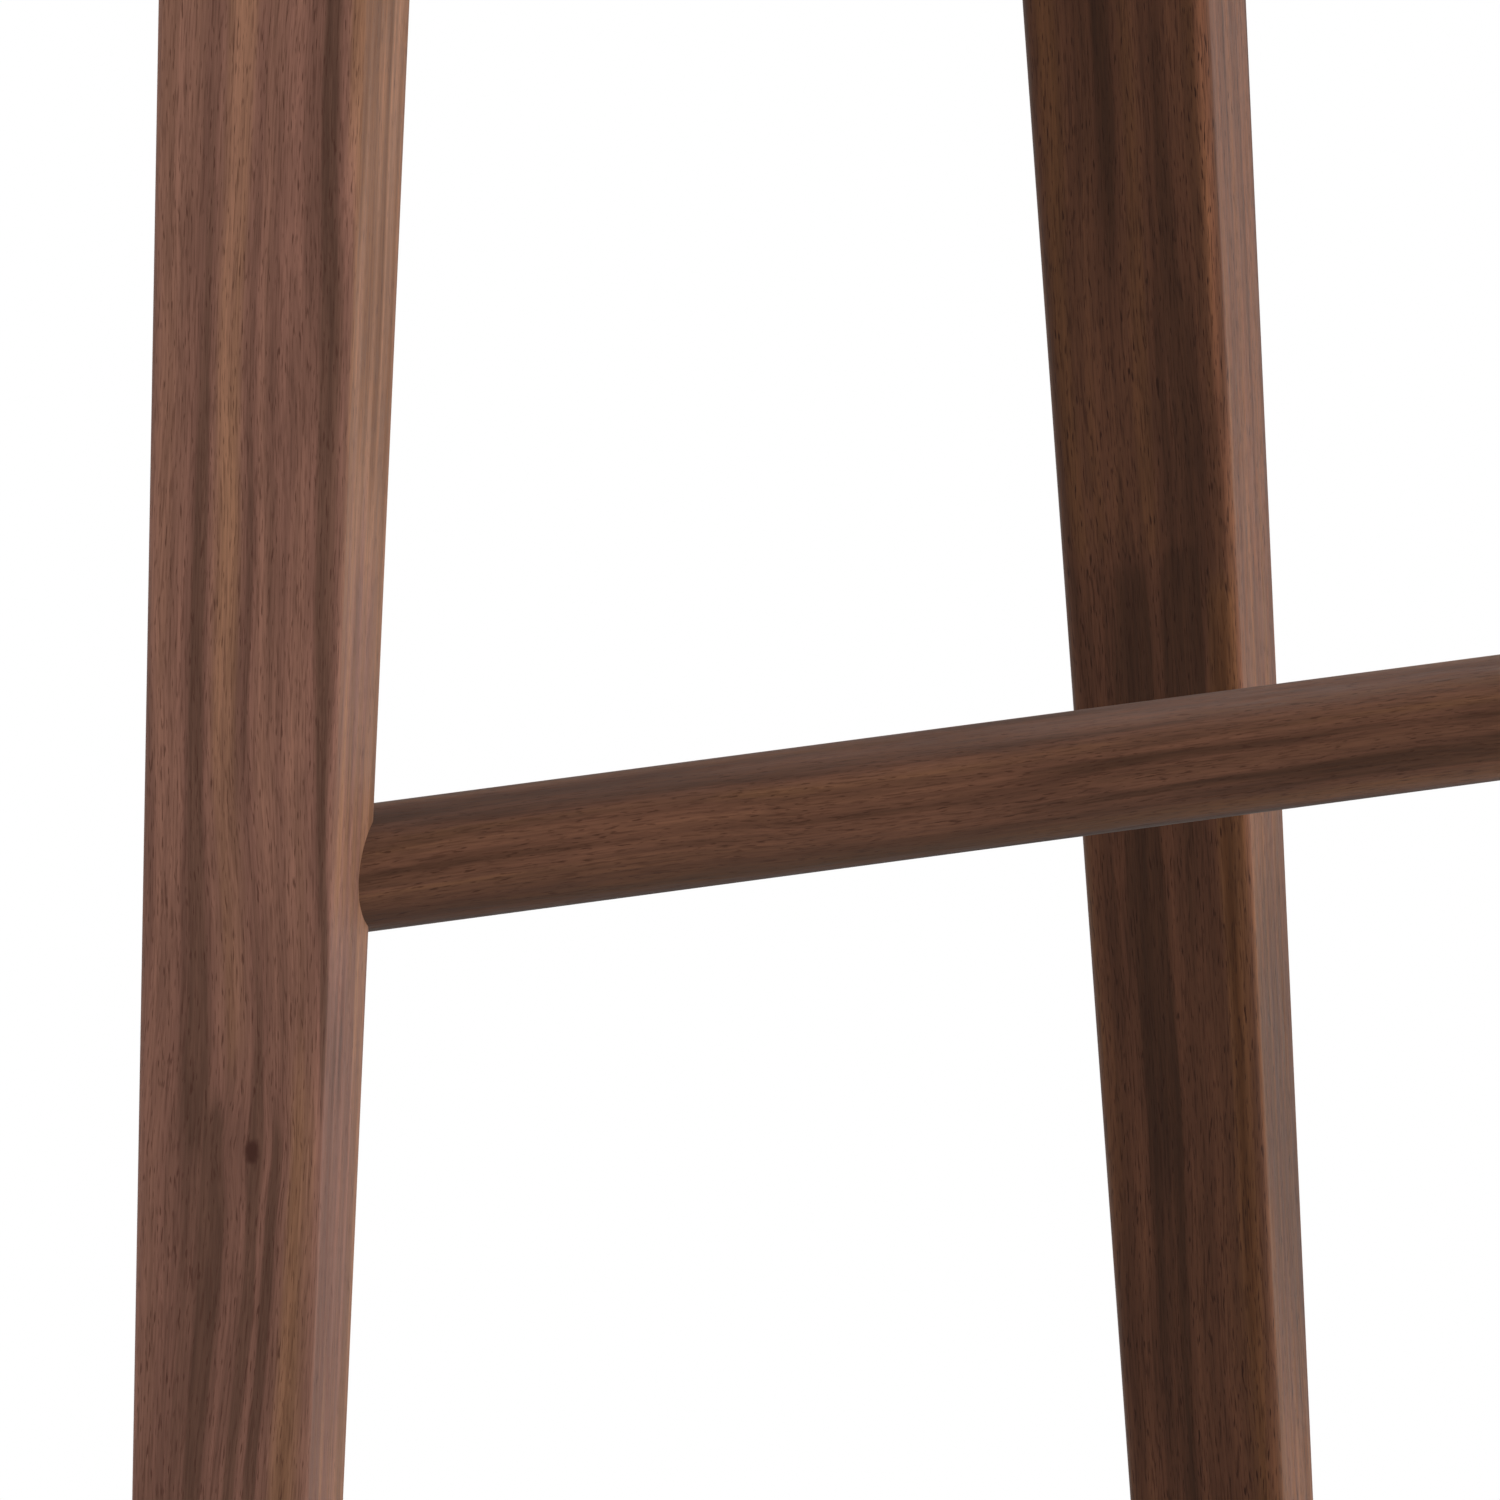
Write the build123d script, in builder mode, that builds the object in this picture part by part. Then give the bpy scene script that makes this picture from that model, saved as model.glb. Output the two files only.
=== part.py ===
"""Folding luggage rack in walnut, with brass hinges and leather straps.

Two upright frames, each of two tapered legs, a top rail and a stretcher, are
held apart by a spreader on each side. Each spreader is two links with a butt
hinge between them. Pressing the hinges down brings the frames together, and the
straps then hang between them. The frame is millimetres, +X along the rails,
+Y to the back, +Z up, with the origin on the floor under the middle.
"""
import os
from math import acos, atan2, cos, degrees, hypot, radians, sin, sqrt, tan

from build123d import *

# Overall frame
leg_spacing_x = 560.0        # leg centres along the rails, at the front stretcher
leg_spacing_y = 380.0        # leg centres from front to back
rack_height = 512.0          # floor to the tops of the legs
leg_lean = 3.5               # degrees, outward towards the floor

# Legs, square and turned to face the middle of the rack
leg_foot_width = 28.5
leg_top_width = 39.5
leg_corner_radius = 3.5
leg_top_round = 3.0
leg_foot_chamfer = 1.5

# Rails and stretchers
rail_diameter = 30.0
rail_drop = 24.0             # leg top down to the rail's axis
stretcher_diameter = 22.0
front_stretcher_z = 240.0
back_stretcher_z = 375.0
socket_stop = 4.0            # from the leg's axis to the blind end of a socket
glue_gap = 0.05              # round a glued or pressed joint

# Foot glides
glide_height = 5.0
glide_diameter = 22.0
glide_stem_diameter = 8.0
glide_stem_length = 16.0

# Spreader links
link_drop = 80.0             # leg top down to the pivots
link_height = 26.0
link_thickness = 20.0
link_edge_round = 2.0
swing_gap = 0.8              # between a link's round end and the leg's corner
butt_gap = 0.2               # between the two links where they meet end to end
fold_limit = 88.0            # degrees that a link turns from open to folded

# Pivot lugs and pins
lug_thickness = 6.0
lug_radius = 7.0
lug_collar_lip = 0.6         # collar beyond the corners of the eye's tongue
lug_collar_thickness = 3.0
lug_collar_seat = 7.0        # depth of the collar's seat in the leg's corner
lug_shank_diameter = 8.0
lug_shank_length = 20.0
lug_side_gap = 0.25          # between the lug and the link's slot, each side
pivot_pin_diameter = 6.0
pivot_pin_inset = 0.5        # from each end of the pin to the link's side
running_gap = 0.06           # round a pin that turns

# Butt hinges between the links
leaf_length = 30.0
leaf_thickness = 2.0
barrel_radius = 3.5
barrel_rise = 1.0            # hinge axis above the links' top faces
barrel_gap = 0.4             # round the barrel
knuckle_gap = 0.2            # between neighbouring knuckles
hinge_pin_diameter = 3.0
hinge_screw_diameter = 3.0
hinge_screw_head_diameter = 6.0
hinge_screw_length = 14.0
hinge_screw_slot = 0.8
hinge_screw_places = (11.0, 22.0)   # from the hinge axis

# Straps
strap_count = 4
strap_pitch = 108.0
strap_width = 42.0
strap_thickness = 3.0
strap_gap = 0.3              # between a strap and the rail
strap_lap = 25.0             # length that is riveted to itself
strap_bend_radius = 6.0      # middle of the strap, where the lap begins
strap_layer_gap = 0.1
strap_meet_gap = 4.0         # between folded halves and the middle plane
rivet_head_radius = 4.0
rivet_head_height = 1.4
rivet_shank_radius = 1.8
rivet_burr_radius = 3.4
rivet_burr_height = 1.0

# Derived sizes
rail_z = rack_height - rail_drop
link_z = rack_height - link_drop
lean_slope = tan(radians(leg_lean))
leg_turn = degrees(atan2(leg_spacing_y, leg_spacing_x))   # from +X to a leg's outer face
hinge_offset = link_height / 2 + barrel_rise


def leg_x(z):
    """Distance of a leg's axis from the middle plane at height z."""
    return leg_spacing_x / 2 + (front_stretcher_z - z) * lean_slope


def leg_width(z):
    """Width across a leg's flats at height z."""
    share = (z - glide_height) / (rack_height - glide_height)
    return leg_foot_width + (leg_top_width - leg_foot_width) * share


def corner_reach(z):
    """How far a leg's rounded corner stands out from its axis along Y at height z."""
    corner_centre = (leg_width(z) / 2 - leg_corner_radius) * sqrt(2)
    return corner_centre * cos(radians(45 - leg_turn)) + leg_corner_radius


pivot_reach = corner_reach(link_z + link_height / 2) + swing_gap + link_height / 2
link_length = leg_spacing_y / 2 - pivot_reach
collar_seat = corner_reach(link_z) - lug_collar_seat
lug_collar_radius = hypot(lug_radius, lug_thickness / 2) + lug_collar_lip
fold = radians(fold_limit)
strap_bend = pivot_reach + ((hinge_offset - strap_thickness) * sin(fold) - strap_meet_gap) / (1 - cos(fold))
strap_radius = rail_diameter / 2 + strap_gap + strap_thickness / 2
strap_top_z = rail_z + strap_radius + strap_thickness / 2
strap_half_length = leg_spacing_y / 2 - strap_bend
lap_start = strap_bend - strap_lap
lap_height = strap_radius - strap_thickness - strap_layer_gap
lap_reach = hypot(lap_start, lap_height)
wrap_angle = 270 + degrees(atan2(lap_height, lap_start) - acos(strap_radius / lap_reach))
rise_length = sqrt(lap_reach**2 - strap_radius**2)
strap_loop_length = strap_bend + radians(wrap_angle) * strap_radius + rise_length + strap_lap

frames = {"front": (-1, front_stretcher_z), "back": (1, back_stretcher_z)}
sides = {"left": -1, "right": 1}
strap_places = [(i - (strap_count - 1) / 2) * strap_pitch for i in range(strap_count)]
along_x = (0, 90, 0)
along_y = (90, 0, 0)

os.makedirs("parts", exist_ok=True)


def save(part, name):
    """Label a finished piece and write it under its own name."""
    part.label = name
    export_step(part, f"parts/{name}.step")


def leg(side, front_back, stretcher_z):
    """Tapered leg with sockets for its rail, stretcher, glide and pivot lug."""
    leg_y = front_back * leg_spacing_y / 2
    inward_y = -front_back
    turn = side * front_back * leg_turn
    with BuildPart() as post:
        for z in (glide_height, rack_height):
            with BuildSketch(Plane((side * leg_x(z), leg_y, z))):
                RectangleRounded(leg_width(z), leg_width(z), leg_corner_radius, rotation=turn)
        loft(ruled=True)
        fillet(post.faces().sort_by(Axis.Z)[-1].edges(), leg_top_round)
        chamfer(post.faces().sort_by(Axis.Z)[0].edges(), leg_foot_chamfer)
        for z, diameter in ((stretcher_z, stretcher_diameter), (rail_z, rail_diameter)):
            depth = leg_width(z)
            middle = side * (leg_x(z) - socket_stop - depth / 2)
            with Locations((middle, leg_y, z)):
                Cylinder(diameter / 2 + glue_gap, depth, rotation=along_x, mode=Mode.SUBTRACT)
        seat_y = leg_y + inward_y * (collar_seat + lug_collar_seat)
        with Locations((side * leg_x(link_z), seat_y, link_z)):
            Cylinder(lug_collar_radius + glue_gap, 2 * lug_collar_seat, rotation=along_y, mode=Mode.SUBTRACT)
        shank_y = leg_y + inward_y * (collar_seat - lug_shank_length / 2)
        shank_hole = lug_shank_diameter / 2 + glue_gap
        with Locations((side * leg_x(link_z), shank_y, link_z)):
            Cylinder(shank_hole, lug_shank_length, rotation=along_y, mode=Mode.SUBTRACT)
        with Locations((side * leg_x(glide_height), leg_y, glide_height)):
            Cylinder(glide_stem_diameter / 2 + glue_gap, 2 * glide_stem_length, mode=Mode.SUBTRACT)
    return post.part


def cross_bar(diameter, front_back, z):
    """Round bar between the two legs of a frame, with its ends in their sockets."""
    length = 2 * (leg_x(z) - socket_stop)
    with BuildPart() as bar:
        with Locations((0, front_back * leg_spacing_y / 2, z)):
            Cylinder(diameter / 2, length, rotation=along_x)
    return bar.part


def glide(side, front_back):
    """Rubber foot with a stem that is pressed into the leg."""
    with BuildPart() as foot:
        with Locations((side * leg_x(glide_height), front_back * leg_spacing_y / 2, 0)):
            Cylinder(glide_diameter / 2, glide_height, align=(Align.CENTER, Align.CENTER, Align.MIN))
            Cylinder(
                glide_stem_diameter / 2,
                glide_height + glide_stem_length,
                align=(Align.CENTER, Align.CENTER, Align.MIN),
            )
        fillet(foot.faces().sort_by(Axis.Z)[0].edges(), glide_height / 4)
    return foot.part


def pivot_lug(side, front_back):
    """Brass eye on a collar and a shank, which is driven into the leg's corner."""
    inward_y = -front_back
    leg_y = front_back * leg_spacing_y / 2
    pivot_y = leg_y + inward_y * pivot_reach
    collar_y = leg_y + inward_y * (collar_seat + lug_collar_thickness / 2)
    shank_y = leg_y + inward_y * (collar_seat - lug_shank_length / 2)
    tongue_length = pivot_reach - collar_seat
    tongue_y = pivot_y - inward_y * tongue_length / 2
    x = side * leg_x(link_z)
    with BuildPart() as lug:
        with Locations((x, shank_y, link_z)):
            Cylinder(lug_shank_diameter / 2, lug_shank_length, rotation=along_y)
        with Locations((x, collar_y, link_z)):
            Cylinder(lug_collar_radius, lug_collar_thickness, rotation=along_y)
        with Locations((x, tongue_y, link_z)):
            Box(lug_thickness, tongue_length, lug_radius * 2)
        with Locations((x, pivot_y, link_z)):
            Cylinder(lug_radius, lug_thickness, rotation=along_x)
            bore = pivot_pin_diameter / 2 + running_gap
            Cylinder(bore, lug_thickness, rotation=along_x, mode=Mode.SUBTRACT)
    return lug.part


def link(side, front_back):
    """Walnut link from a pivot to the middle hinge, slotted over the lug."""
    pivot_y = front_back * link_length
    end_y = front_back * butt_gap / 2
    length = link_length - butt_gap / 2
    top_z = link_z + link_height / 2
    slot_width = lug_thickness + 2 * lug_side_gap
    slot_reach = lug_radius + 2 * lug_side_gap
    slot_length = slot_reach + link_height
    x = side * leg_x(link_z)
    with BuildPart() as bar:
        with Locations((x, (pivot_y + end_y) / 2, link_z)):
            Box(link_thickness, length, link_height)
        with Locations((x, pivot_y, link_z)):
            Cylinder(link_height / 2, link_thickness, rotation=along_x)
        outline = bar.faces().filter_by(Axis.X).edges()
        fillet(outline.filter_by(Axis.Z, reverse=True), link_edge_round)
        with Locations((x, pivot_y + front_back * (slot_length / 2 - slot_reach), link_z)):
            Box(slot_width, slot_length, link_height, mode=Mode.SUBTRACT)
        with Locations((x, pivot_y, link_z)):
            Cylinder(pivot_pin_diameter / 2, link_thickness, rotation=along_x, mode=Mode.SUBTRACT)
        with Locations((x, front_back * leaf_length / 2, top_z)):
            Box(link_thickness, leaf_length, 2 * leaf_thickness, mode=Mode.SUBTRACT)
        with Locations((x, 0, top_z + barrel_rise)):
            Cylinder(barrel_radius + barrel_gap, link_thickness, rotation=along_x, mode=Mode.SUBTRACT)
        for place in hinge_screw_places:
            with Locations((x, front_back * place, top_z)):
                Cylinder(hinge_screw_diameter / 2, 2 * hinge_screw_length, mode=Mode.SUBTRACT)
    return bar.part


def pivot_pin(side, front_back):
    """Pin across a link's slot, pressed into both cheeks."""
    pin_length = link_thickness - 2 * pivot_pin_inset
    with BuildPart() as pin:
        with Locations((side * leg_x(link_z), front_back * link_length, link_z)):
            Cylinder(pivot_pin_diameter / 2, pin_length, rotation=along_x)
    return pin.part


def hinge_leaf(side, front_back):
    """Leaf of a butt hinge, let in flush with a link's top face."""
    top_z = link_z + link_height / 2
    x = side * leg_x(link_z)
    knuckle = (link_thickness - 2 * knuckle_gap) / 3
    if front_back < 0:
        knuckle_places = [x - knuckle - knuckle_gap, x + knuckle + knuckle_gap]
    else:
        knuckle_places = [x]
    clear_of_barrel = barrel_radius + barrel_gap
    with BuildPart() as leaf:
        with Locations((x, front_back * (leaf_length + clear_of_barrel) / 2, top_z - leaf_thickness / 2)):
            Box(link_thickness, leaf_length - clear_of_barrel, leaf_thickness)
        for place in knuckle_places:
            with Locations((place, front_back * clear_of_barrel / 2, top_z - leaf_thickness / 2)):
                Box(knuckle, clear_of_barrel, leaf_thickness)
            with Locations((place, 0, top_z + barrel_rise)):
                Cylinder(barrel_radius, knuckle, rotation=along_x)
        with Locations((x, 0, top_z + barrel_rise)):
            bore = hinge_pin_diameter / 2 + running_gap
            Cylinder(bore, link_thickness, rotation=along_x, mode=Mode.SUBTRACT)
        with Locations([(x, front_back * place, top_z) for place in hinge_screw_places]):
            CounterSinkHole(
                hinge_screw_diameter / 2,
                hinge_screw_head_diameter / 2,
                depth=leaf_thickness,
                counter_sink_angle=90,
            )
    return leaf.part


def hinge_pin(side):
    """Pin through the three knuckles of a butt hinge."""
    with BuildPart() as pin:
        with Locations((side * leg_x(link_z), 0, link_z + hinge_offset)):
            Cylinder(hinge_pin_diameter / 2, link_thickness, rotation=along_x)
    return pin.part


def hinge_screws(side, front_back):
    """Slotted countersunk screws that hold one leaf."""
    top_z = link_z + link_height / 2
    head_radius = hinge_screw_head_diameter / 2
    shank_radius = hinge_screw_diameter / 2
    head_height = head_radius - shank_radius
    top_down = (Align.CENTER, Align.CENTER, Align.MAX)
    with BuildPart() as screws:
        for place in hinge_screw_places:
            with Locations((side * leg_x(link_z), front_back * place, top_z)):
                Cylinder(shank_radius, hinge_screw_length, align=top_down)
                Cone(shank_radius, head_radius, head_height, align=top_down)
                Box(hinge_screw_slot, 2 * head_radius, hinge_screw_slot, mode=Mode.SUBTRACT)
    return screws.part


def strap_loop(x, front_back):
    """Strap end that goes round the rail and is riveted back to itself."""
    lap_corner = (lap_start, lap_height)
    rail_axis = Plane(
        origin=(x, front_back * leg_spacing_y / 2, rail_z),
        x_dir=(0, -front_back, 0),
        z_dir=(-front_back, 0, 0),
    )
    with BuildPart() as loop:
        with BuildSketch(rail_axis):
            with BuildLine() as path:
                Line((strap_bend, strap_radius), (0, strap_radius))
                wrap = CenterArc((0, 0), strap_radius, 90, wrap_angle)
                Line(wrap @ 1, lap_corner)
                Line(lap_corner, (strap_bend, lap_height))
                fillet(path.vertices().sort_by_distance(lap_corner)[0], strap_bend_radius)
            trace(line_width=strap_thickness)
        extrude(amount=strap_width / 2, both=True)
        for rivet_x in rivet_places(x):
            with Locations((rivet_x, rivet_y(front_back), rail_z + strap_radius)):
                Cylinder(rivet_shank_radius + glue_gap, 4 * strap_thickness, mode=Mode.SUBTRACT)
    return loop.part


def rivet_places(x):
    """Where the two rivets of a strap stand across its width."""
    return (x - strap_width / 4, x + strap_width / 4)


def rivet_y(front_back):
    """Where a strap's rivets stand from front to back."""
    return front_back * (leg_spacing_y / 2 - strap_bend + strap_lap / 2)


def strap_rivets(front_back):
    """Domed rivets with burrs under the lap, for all the straps of one frame."""
    under_z = strap_top_z - 2 * strap_thickness - strap_layer_gap
    with BuildPart() as rivets:
        for x in strap_places:
            for rivet_x in rivet_places(x):
                with BuildSketch(Plane.XZ.offset(-rivet_y(front_back))):
                    with BuildLine():
                        Polyline(
                            (rivet_x, under_z - rivet_burr_height),
                            (rivet_x + rivet_burr_radius, under_z - rivet_burr_height),
                            (rivet_x + rivet_burr_radius, under_z),
                            (rivet_x + rivet_shank_radius, under_z),
                            (rivet_x + rivet_shank_radius, strap_top_z),
                            (rivet_x + rivet_head_radius, strap_top_z),
                        )
                        RadiusArc(
                            (rivet_x + rivet_head_radius, strap_top_z),
                            (rivet_x, strap_top_z + rivet_head_height),
                            -(rivet_head_radius**2 + rivet_head_height**2) / (2 * rivet_head_height),
                        )
                        Line(
                            (rivet_x, strap_top_z + rivet_head_height),
                            (rivet_x, under_z - rivet_burr_height),
                        )
                    make_face()
                revolve(axis=Axis((rivet_x, rivet_y(front_back), 0), (0, 0, 1)))
    return rivets.part


def strap_half(x, front_back):
    """Free half of a strap, from the lap to the middle."""
    length = strap_half_length - butt_gap
    middle_y = front_back * strap_half_length / 2
    with BuildPart() as half:
        with Locations((x, middle_y, strap_top_z - strap_thickness / 2)):
            Box(strap_width, length, strap_thickness)
    return half.part


for frame_name, (front_back, stretcher_z) in frames.items():
    save(cross_bar(rail_diameter, front_back, rail_z), f"{frame_name}_top_rail")
    save(cross_bar(stretcher_diameter, front_back, stretcher_z), f"{frame_name}_stretcher")
    save(strap_rivets(front_back), f"{frame_name}_strap_rivets")
    for side_name, side in sides.items():
        save(leg(side, front_back, stretcher_z), f"{frame_name}_{side_name}_leg")
        save(glide(side, front_back), f"{frame_name}_{side_name}_glide")
        save(pivot_lug(side, front_back), f"{frame_name}_{side_name}_pivot_lug")
        save(link(side, front_back), f"{side_name}_{frame_name}_link")
        save(pivot_pin(side, front_back), f"{side_name}_{frame_name}_pivot_pin")
        save(hinge_leaf(side, front_back), f"{side_name}_{frame_name}_hinge_leaf")
        save(hinge_screws(side, front_back), f"{side_name}_{frame_name}_hinge_screws")
    for number, x in enumerate(strap_places, start=1):
        save(strap_loop(x, front_back), f"strap_{number}_{frame_name}_loop")
        save(strap_half(x, front_back), f"strap_{number}_{frame_name}_half")

for side_name, side in sides.items():
    save(hinge_pin(side), f"{side_name}_hinge_pin")

print(f"pivots at x {leg_x(link_z):.3f}, y {link_length:.3f}, z {link_z:.3f}")
print(f"hinge axes at y 0, z {link_z + hinge_offset:.3f}")
print(f"straps bend at y {strap_half_length:.3f}, z {strap_top_z - strap_thickness:.3f}")
print(f"each strap is cut {2 * (strap_loop_length + strap_half_length):.0f} mm long")
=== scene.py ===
# %% [markdown]
# # A folding luggage rack in walnut, leather and brass
#
# The rack stands on four square, tapered walnut legs. Round rails and stretchers
# join them into a front and a back frame, hinged spreaders hold the frames apart,
# and leather straps cross from rail to rail. The construction is loaded as a fixed
# frame in metres. This lesson dresses it: every surface gets its finish, and each
# piece keeps the place that the frame gives it.

# %% Load the frame
import math

import bmesh
import bpy
from mathutils import Euler, Matrix, Vector


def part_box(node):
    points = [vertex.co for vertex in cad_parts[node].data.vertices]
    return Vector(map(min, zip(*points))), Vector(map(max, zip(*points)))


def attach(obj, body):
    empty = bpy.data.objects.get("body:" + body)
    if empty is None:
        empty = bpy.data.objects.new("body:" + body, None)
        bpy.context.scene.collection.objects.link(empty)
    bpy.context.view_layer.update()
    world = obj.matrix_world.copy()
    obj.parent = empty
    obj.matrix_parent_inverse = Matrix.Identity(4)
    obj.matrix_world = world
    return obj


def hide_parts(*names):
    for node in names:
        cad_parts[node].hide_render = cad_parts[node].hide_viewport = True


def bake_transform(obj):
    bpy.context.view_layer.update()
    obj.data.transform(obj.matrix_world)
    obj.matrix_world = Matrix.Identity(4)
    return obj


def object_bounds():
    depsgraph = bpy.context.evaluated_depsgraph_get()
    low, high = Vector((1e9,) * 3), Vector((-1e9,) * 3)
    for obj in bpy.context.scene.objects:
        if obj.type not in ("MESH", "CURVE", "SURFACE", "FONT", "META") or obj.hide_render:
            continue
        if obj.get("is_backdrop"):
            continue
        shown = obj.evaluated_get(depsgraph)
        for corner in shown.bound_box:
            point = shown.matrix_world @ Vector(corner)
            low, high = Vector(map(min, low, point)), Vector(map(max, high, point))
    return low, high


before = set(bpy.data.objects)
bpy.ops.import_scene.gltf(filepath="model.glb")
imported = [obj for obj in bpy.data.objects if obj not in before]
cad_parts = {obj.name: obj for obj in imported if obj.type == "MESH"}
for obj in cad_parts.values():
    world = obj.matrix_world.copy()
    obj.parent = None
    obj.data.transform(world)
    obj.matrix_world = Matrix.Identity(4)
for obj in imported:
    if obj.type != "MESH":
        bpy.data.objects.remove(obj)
cad_low, cad_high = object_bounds()
MM = 0.001
SIDES = {"left": -1, "right": 1}
FRAMES = {"front": -1, "back": 1}

# %% [markdown]
# ## Helpers for materials
#
# Colours are picked as they look on a screen, as sRGB hex values, but a shader
# works with linear light, so one function converts them. It can also deepen a
# colour for a darker board, which loses more green and blue than red, by powers
# that a board can set for itself. A second function adds a node, sets it and links
# it in a single call, which keeps a finish readable from top to bottom.

# %% Colour and node helpers
DEEPEN = (1.0, 1.21, 1.55)   # how strongly a darker tone acts on red, green and blue


def linear(hex_colour, tone=1.0, deepen=DEEPEN):
    """An sRGB hex colour as linear RGBA, deepened by a tone below one."""
    channels = [int(hex_colour[i:i + 2], 16) / 255 for i in (1, 3, 5)]
    lit = [c / 12.92 if c <= 0.04045 else ((c + 0.055) / 1.055) ** 2.4 for c in channels]
    return (*(c * tone ** power for c, power in zip(lit, deepen)), 1.0)


def add(tree, kind, inputs=(), **settings):
    """Add a node with its settings and inputs.

    Inputs are a tuple in the order of the live sockets, or a dict by socket name.
    Each is a value, an output, or a node whose first live output is linked.
    """
    node = tree.nodes.new(kind)
    for name, value in settings.items():
        setattr(node, name, value)
    live = [socket for socket in node.inputs if socket.enabled]
    for key, value in inputs.items() if isinstance(inputs, dict) else enumerate(inputs):
        socket = node.inputs[key] if isinstance(key, str) else live[key]
        if isinstance(value, bpy.types.Node):
            value = next(output for output in value.outputs if output.enabled)
        if isinstance(value, bpy.types.NodeSocket):
            tree.links.new(value, socket)
        else:
            socket.default_value = value
    return node


def new_finish(name):
    """An empty material and its node tree."""
    finish = bpy.data.materials.new(name)
    finish.use_nodes = True
    finish.node_tree.nodes.clear()
    return finish, finish.node_tree


print("mid brown in linear light:", [round(c, 3) for c in linear("#705043")])

# %% [markdown]
# ## One layer of a pattern
#
# Wood, leather and metal all get their life from several soft patterns of very
# different size. Each one is noise whose cells have a real size in millimetres,
# eased into the range of values that it is to give.

# %% A pattern layer
EASED = {"interpolation_type": "SMOOTHSTEP"}


def layer(tree, place, size_mm, low=0.0, high=1.0, span=(0.3, 0.7), detail=2.0):
    """A soft pattern with cells of a real size, as values that run from low to high."""
    scale = [1 / (size * MM) for size in size_mm]
    cells = add(tree, "ShaderNodeVectorMath", (place, scale), operation="MULTIPLY")
    noise = add(tree, "ShaderNodeTexNoise", {"Vector": cells, "Scale": 1.0, "Detail": detail})
    return add(tree, "ShaderNodeMapRange", (noise, *span, low, high), **EASED)


print("one cell of 0.3 mm is drawn at a scale of", round(1 / (0.3 * MM)))

# %% [markdown]
# ## Oiled walnut
#
# Walnut is a mauve brown with wandering tan and dark streaks, finer growth lines,
# silky fibres and short open pores. All of these run along the board, so every
# layer is stretched along the grain. A board has its own grain direction, so the
# coordinates are turned first until local Z runs along it. The layers are close
# together across local X, where the growth rings follow each other, which gives
# straight fine lines on one face and broad figure on the next.

# %% Walnut colours and sizes
WALNUT_DARK = "#5c4136"
WALNUT_MAUVE = "#765347"
WALNUT_ROSE = "#7d594b"
WALNUT_TAN = "#88624c"
WALNUT_OCHRE = "#6f4b35"
WALNUT_PORE = "#432820"
FIGURE_STOPS = (
    (0.26, WALNUT_DARK),
    (0.42, WALNUT_MAUVE),
    (0.58, WALNUT_ROSE),
    (0.78, WALNUT_TAN),
    (1.0, WALNUT_OCHRE),
)
FIGURE_MIDDLE = 0.5
WALNUT_GLOSS = 0.12
WALNUT_ROUGH = (0.46, 0.60)
WALNUT_BUMP = {"Strength": 0.35, "Distance": 0.06 * MM}
FIBRE_RELIEF = 0.4              # beside a pore, which counts as one
DASH_SHARE = 0.6                # how dark a dash is beside a pore
DASH_SPAN = (0.52, 0.74)
PORE_SPAN = (0.58, 0.76)
WANDER = 1.0 * MM               # how far the streaks wander from the straight
# Cell sizes in mm: across the rings, along them, along the grain.
WANDER_SIZE = (38, 38, 110)
STREAK_SIZE = (3.4, 5.5, 230)
FADE_SIZE = (24, 24, 90)
LINE_SIZE = (2.0, 2.6, 150)
FIBRE_SIZE = (0.34, 0.34, 14)
DASH_SIZE = (0.30, 0.34, 6)
PORE_SIZE = (0.32, 0.32, 3.2)
MOTTLE_SIZE = (6, 6, 40)
# Each layer of the grain: its cells, and how much it darkens and lightens.
GRAIN_LAYERS = (
    (LINE_SIZE, 0.82, 1.18),
    (FIBRE_SIZE, 0.87, 1.13),
    (MOTTLE_SIZE, 0.94, 1.06),
)
print(len(GRAIN_LAYERS) + 3, "layers of grain, from", PORE_SIZE[0], "to", WANDER_SIZE[0], "mm across")

# %% [markdown]
# ## What makes one board differ from the next
#
# A knot pushes the grain aside, so near it the coordinates are pulled together,
# and every later layer then flows round it. It also makes the grain above and below
# it sway to one side. A streak is a band at a named place across the board, which
# may start part of the way along. A shade makes a board slowly darker or paler in
# one direction: towards the foot, at an edge or on the underside of a bar. The shade
# at the edge of the back right leg is partly painted light, and those on the top and
# underside of the front stretcher are painted shade and painted light.

# %% Knots, streaks and shades
KNOT_OVAL = (1, 1, 0.65)
KNOT_PULL = 0.35
KNOT_RAGGED = 0.25 * MM
KNOT_SPOT = (0.25, 0.75)         # where its dark heart starts and ends to fade, in its size
RAGGED_SIZE = (2.2, 2.2, 2.2)
SWAY_OVAL = (0, 1, 0.25)
SWAY_REACH = 20 * MM
STREAK_FADE = (0.7, 1.15)        # how a streak's strength varies along it


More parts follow.
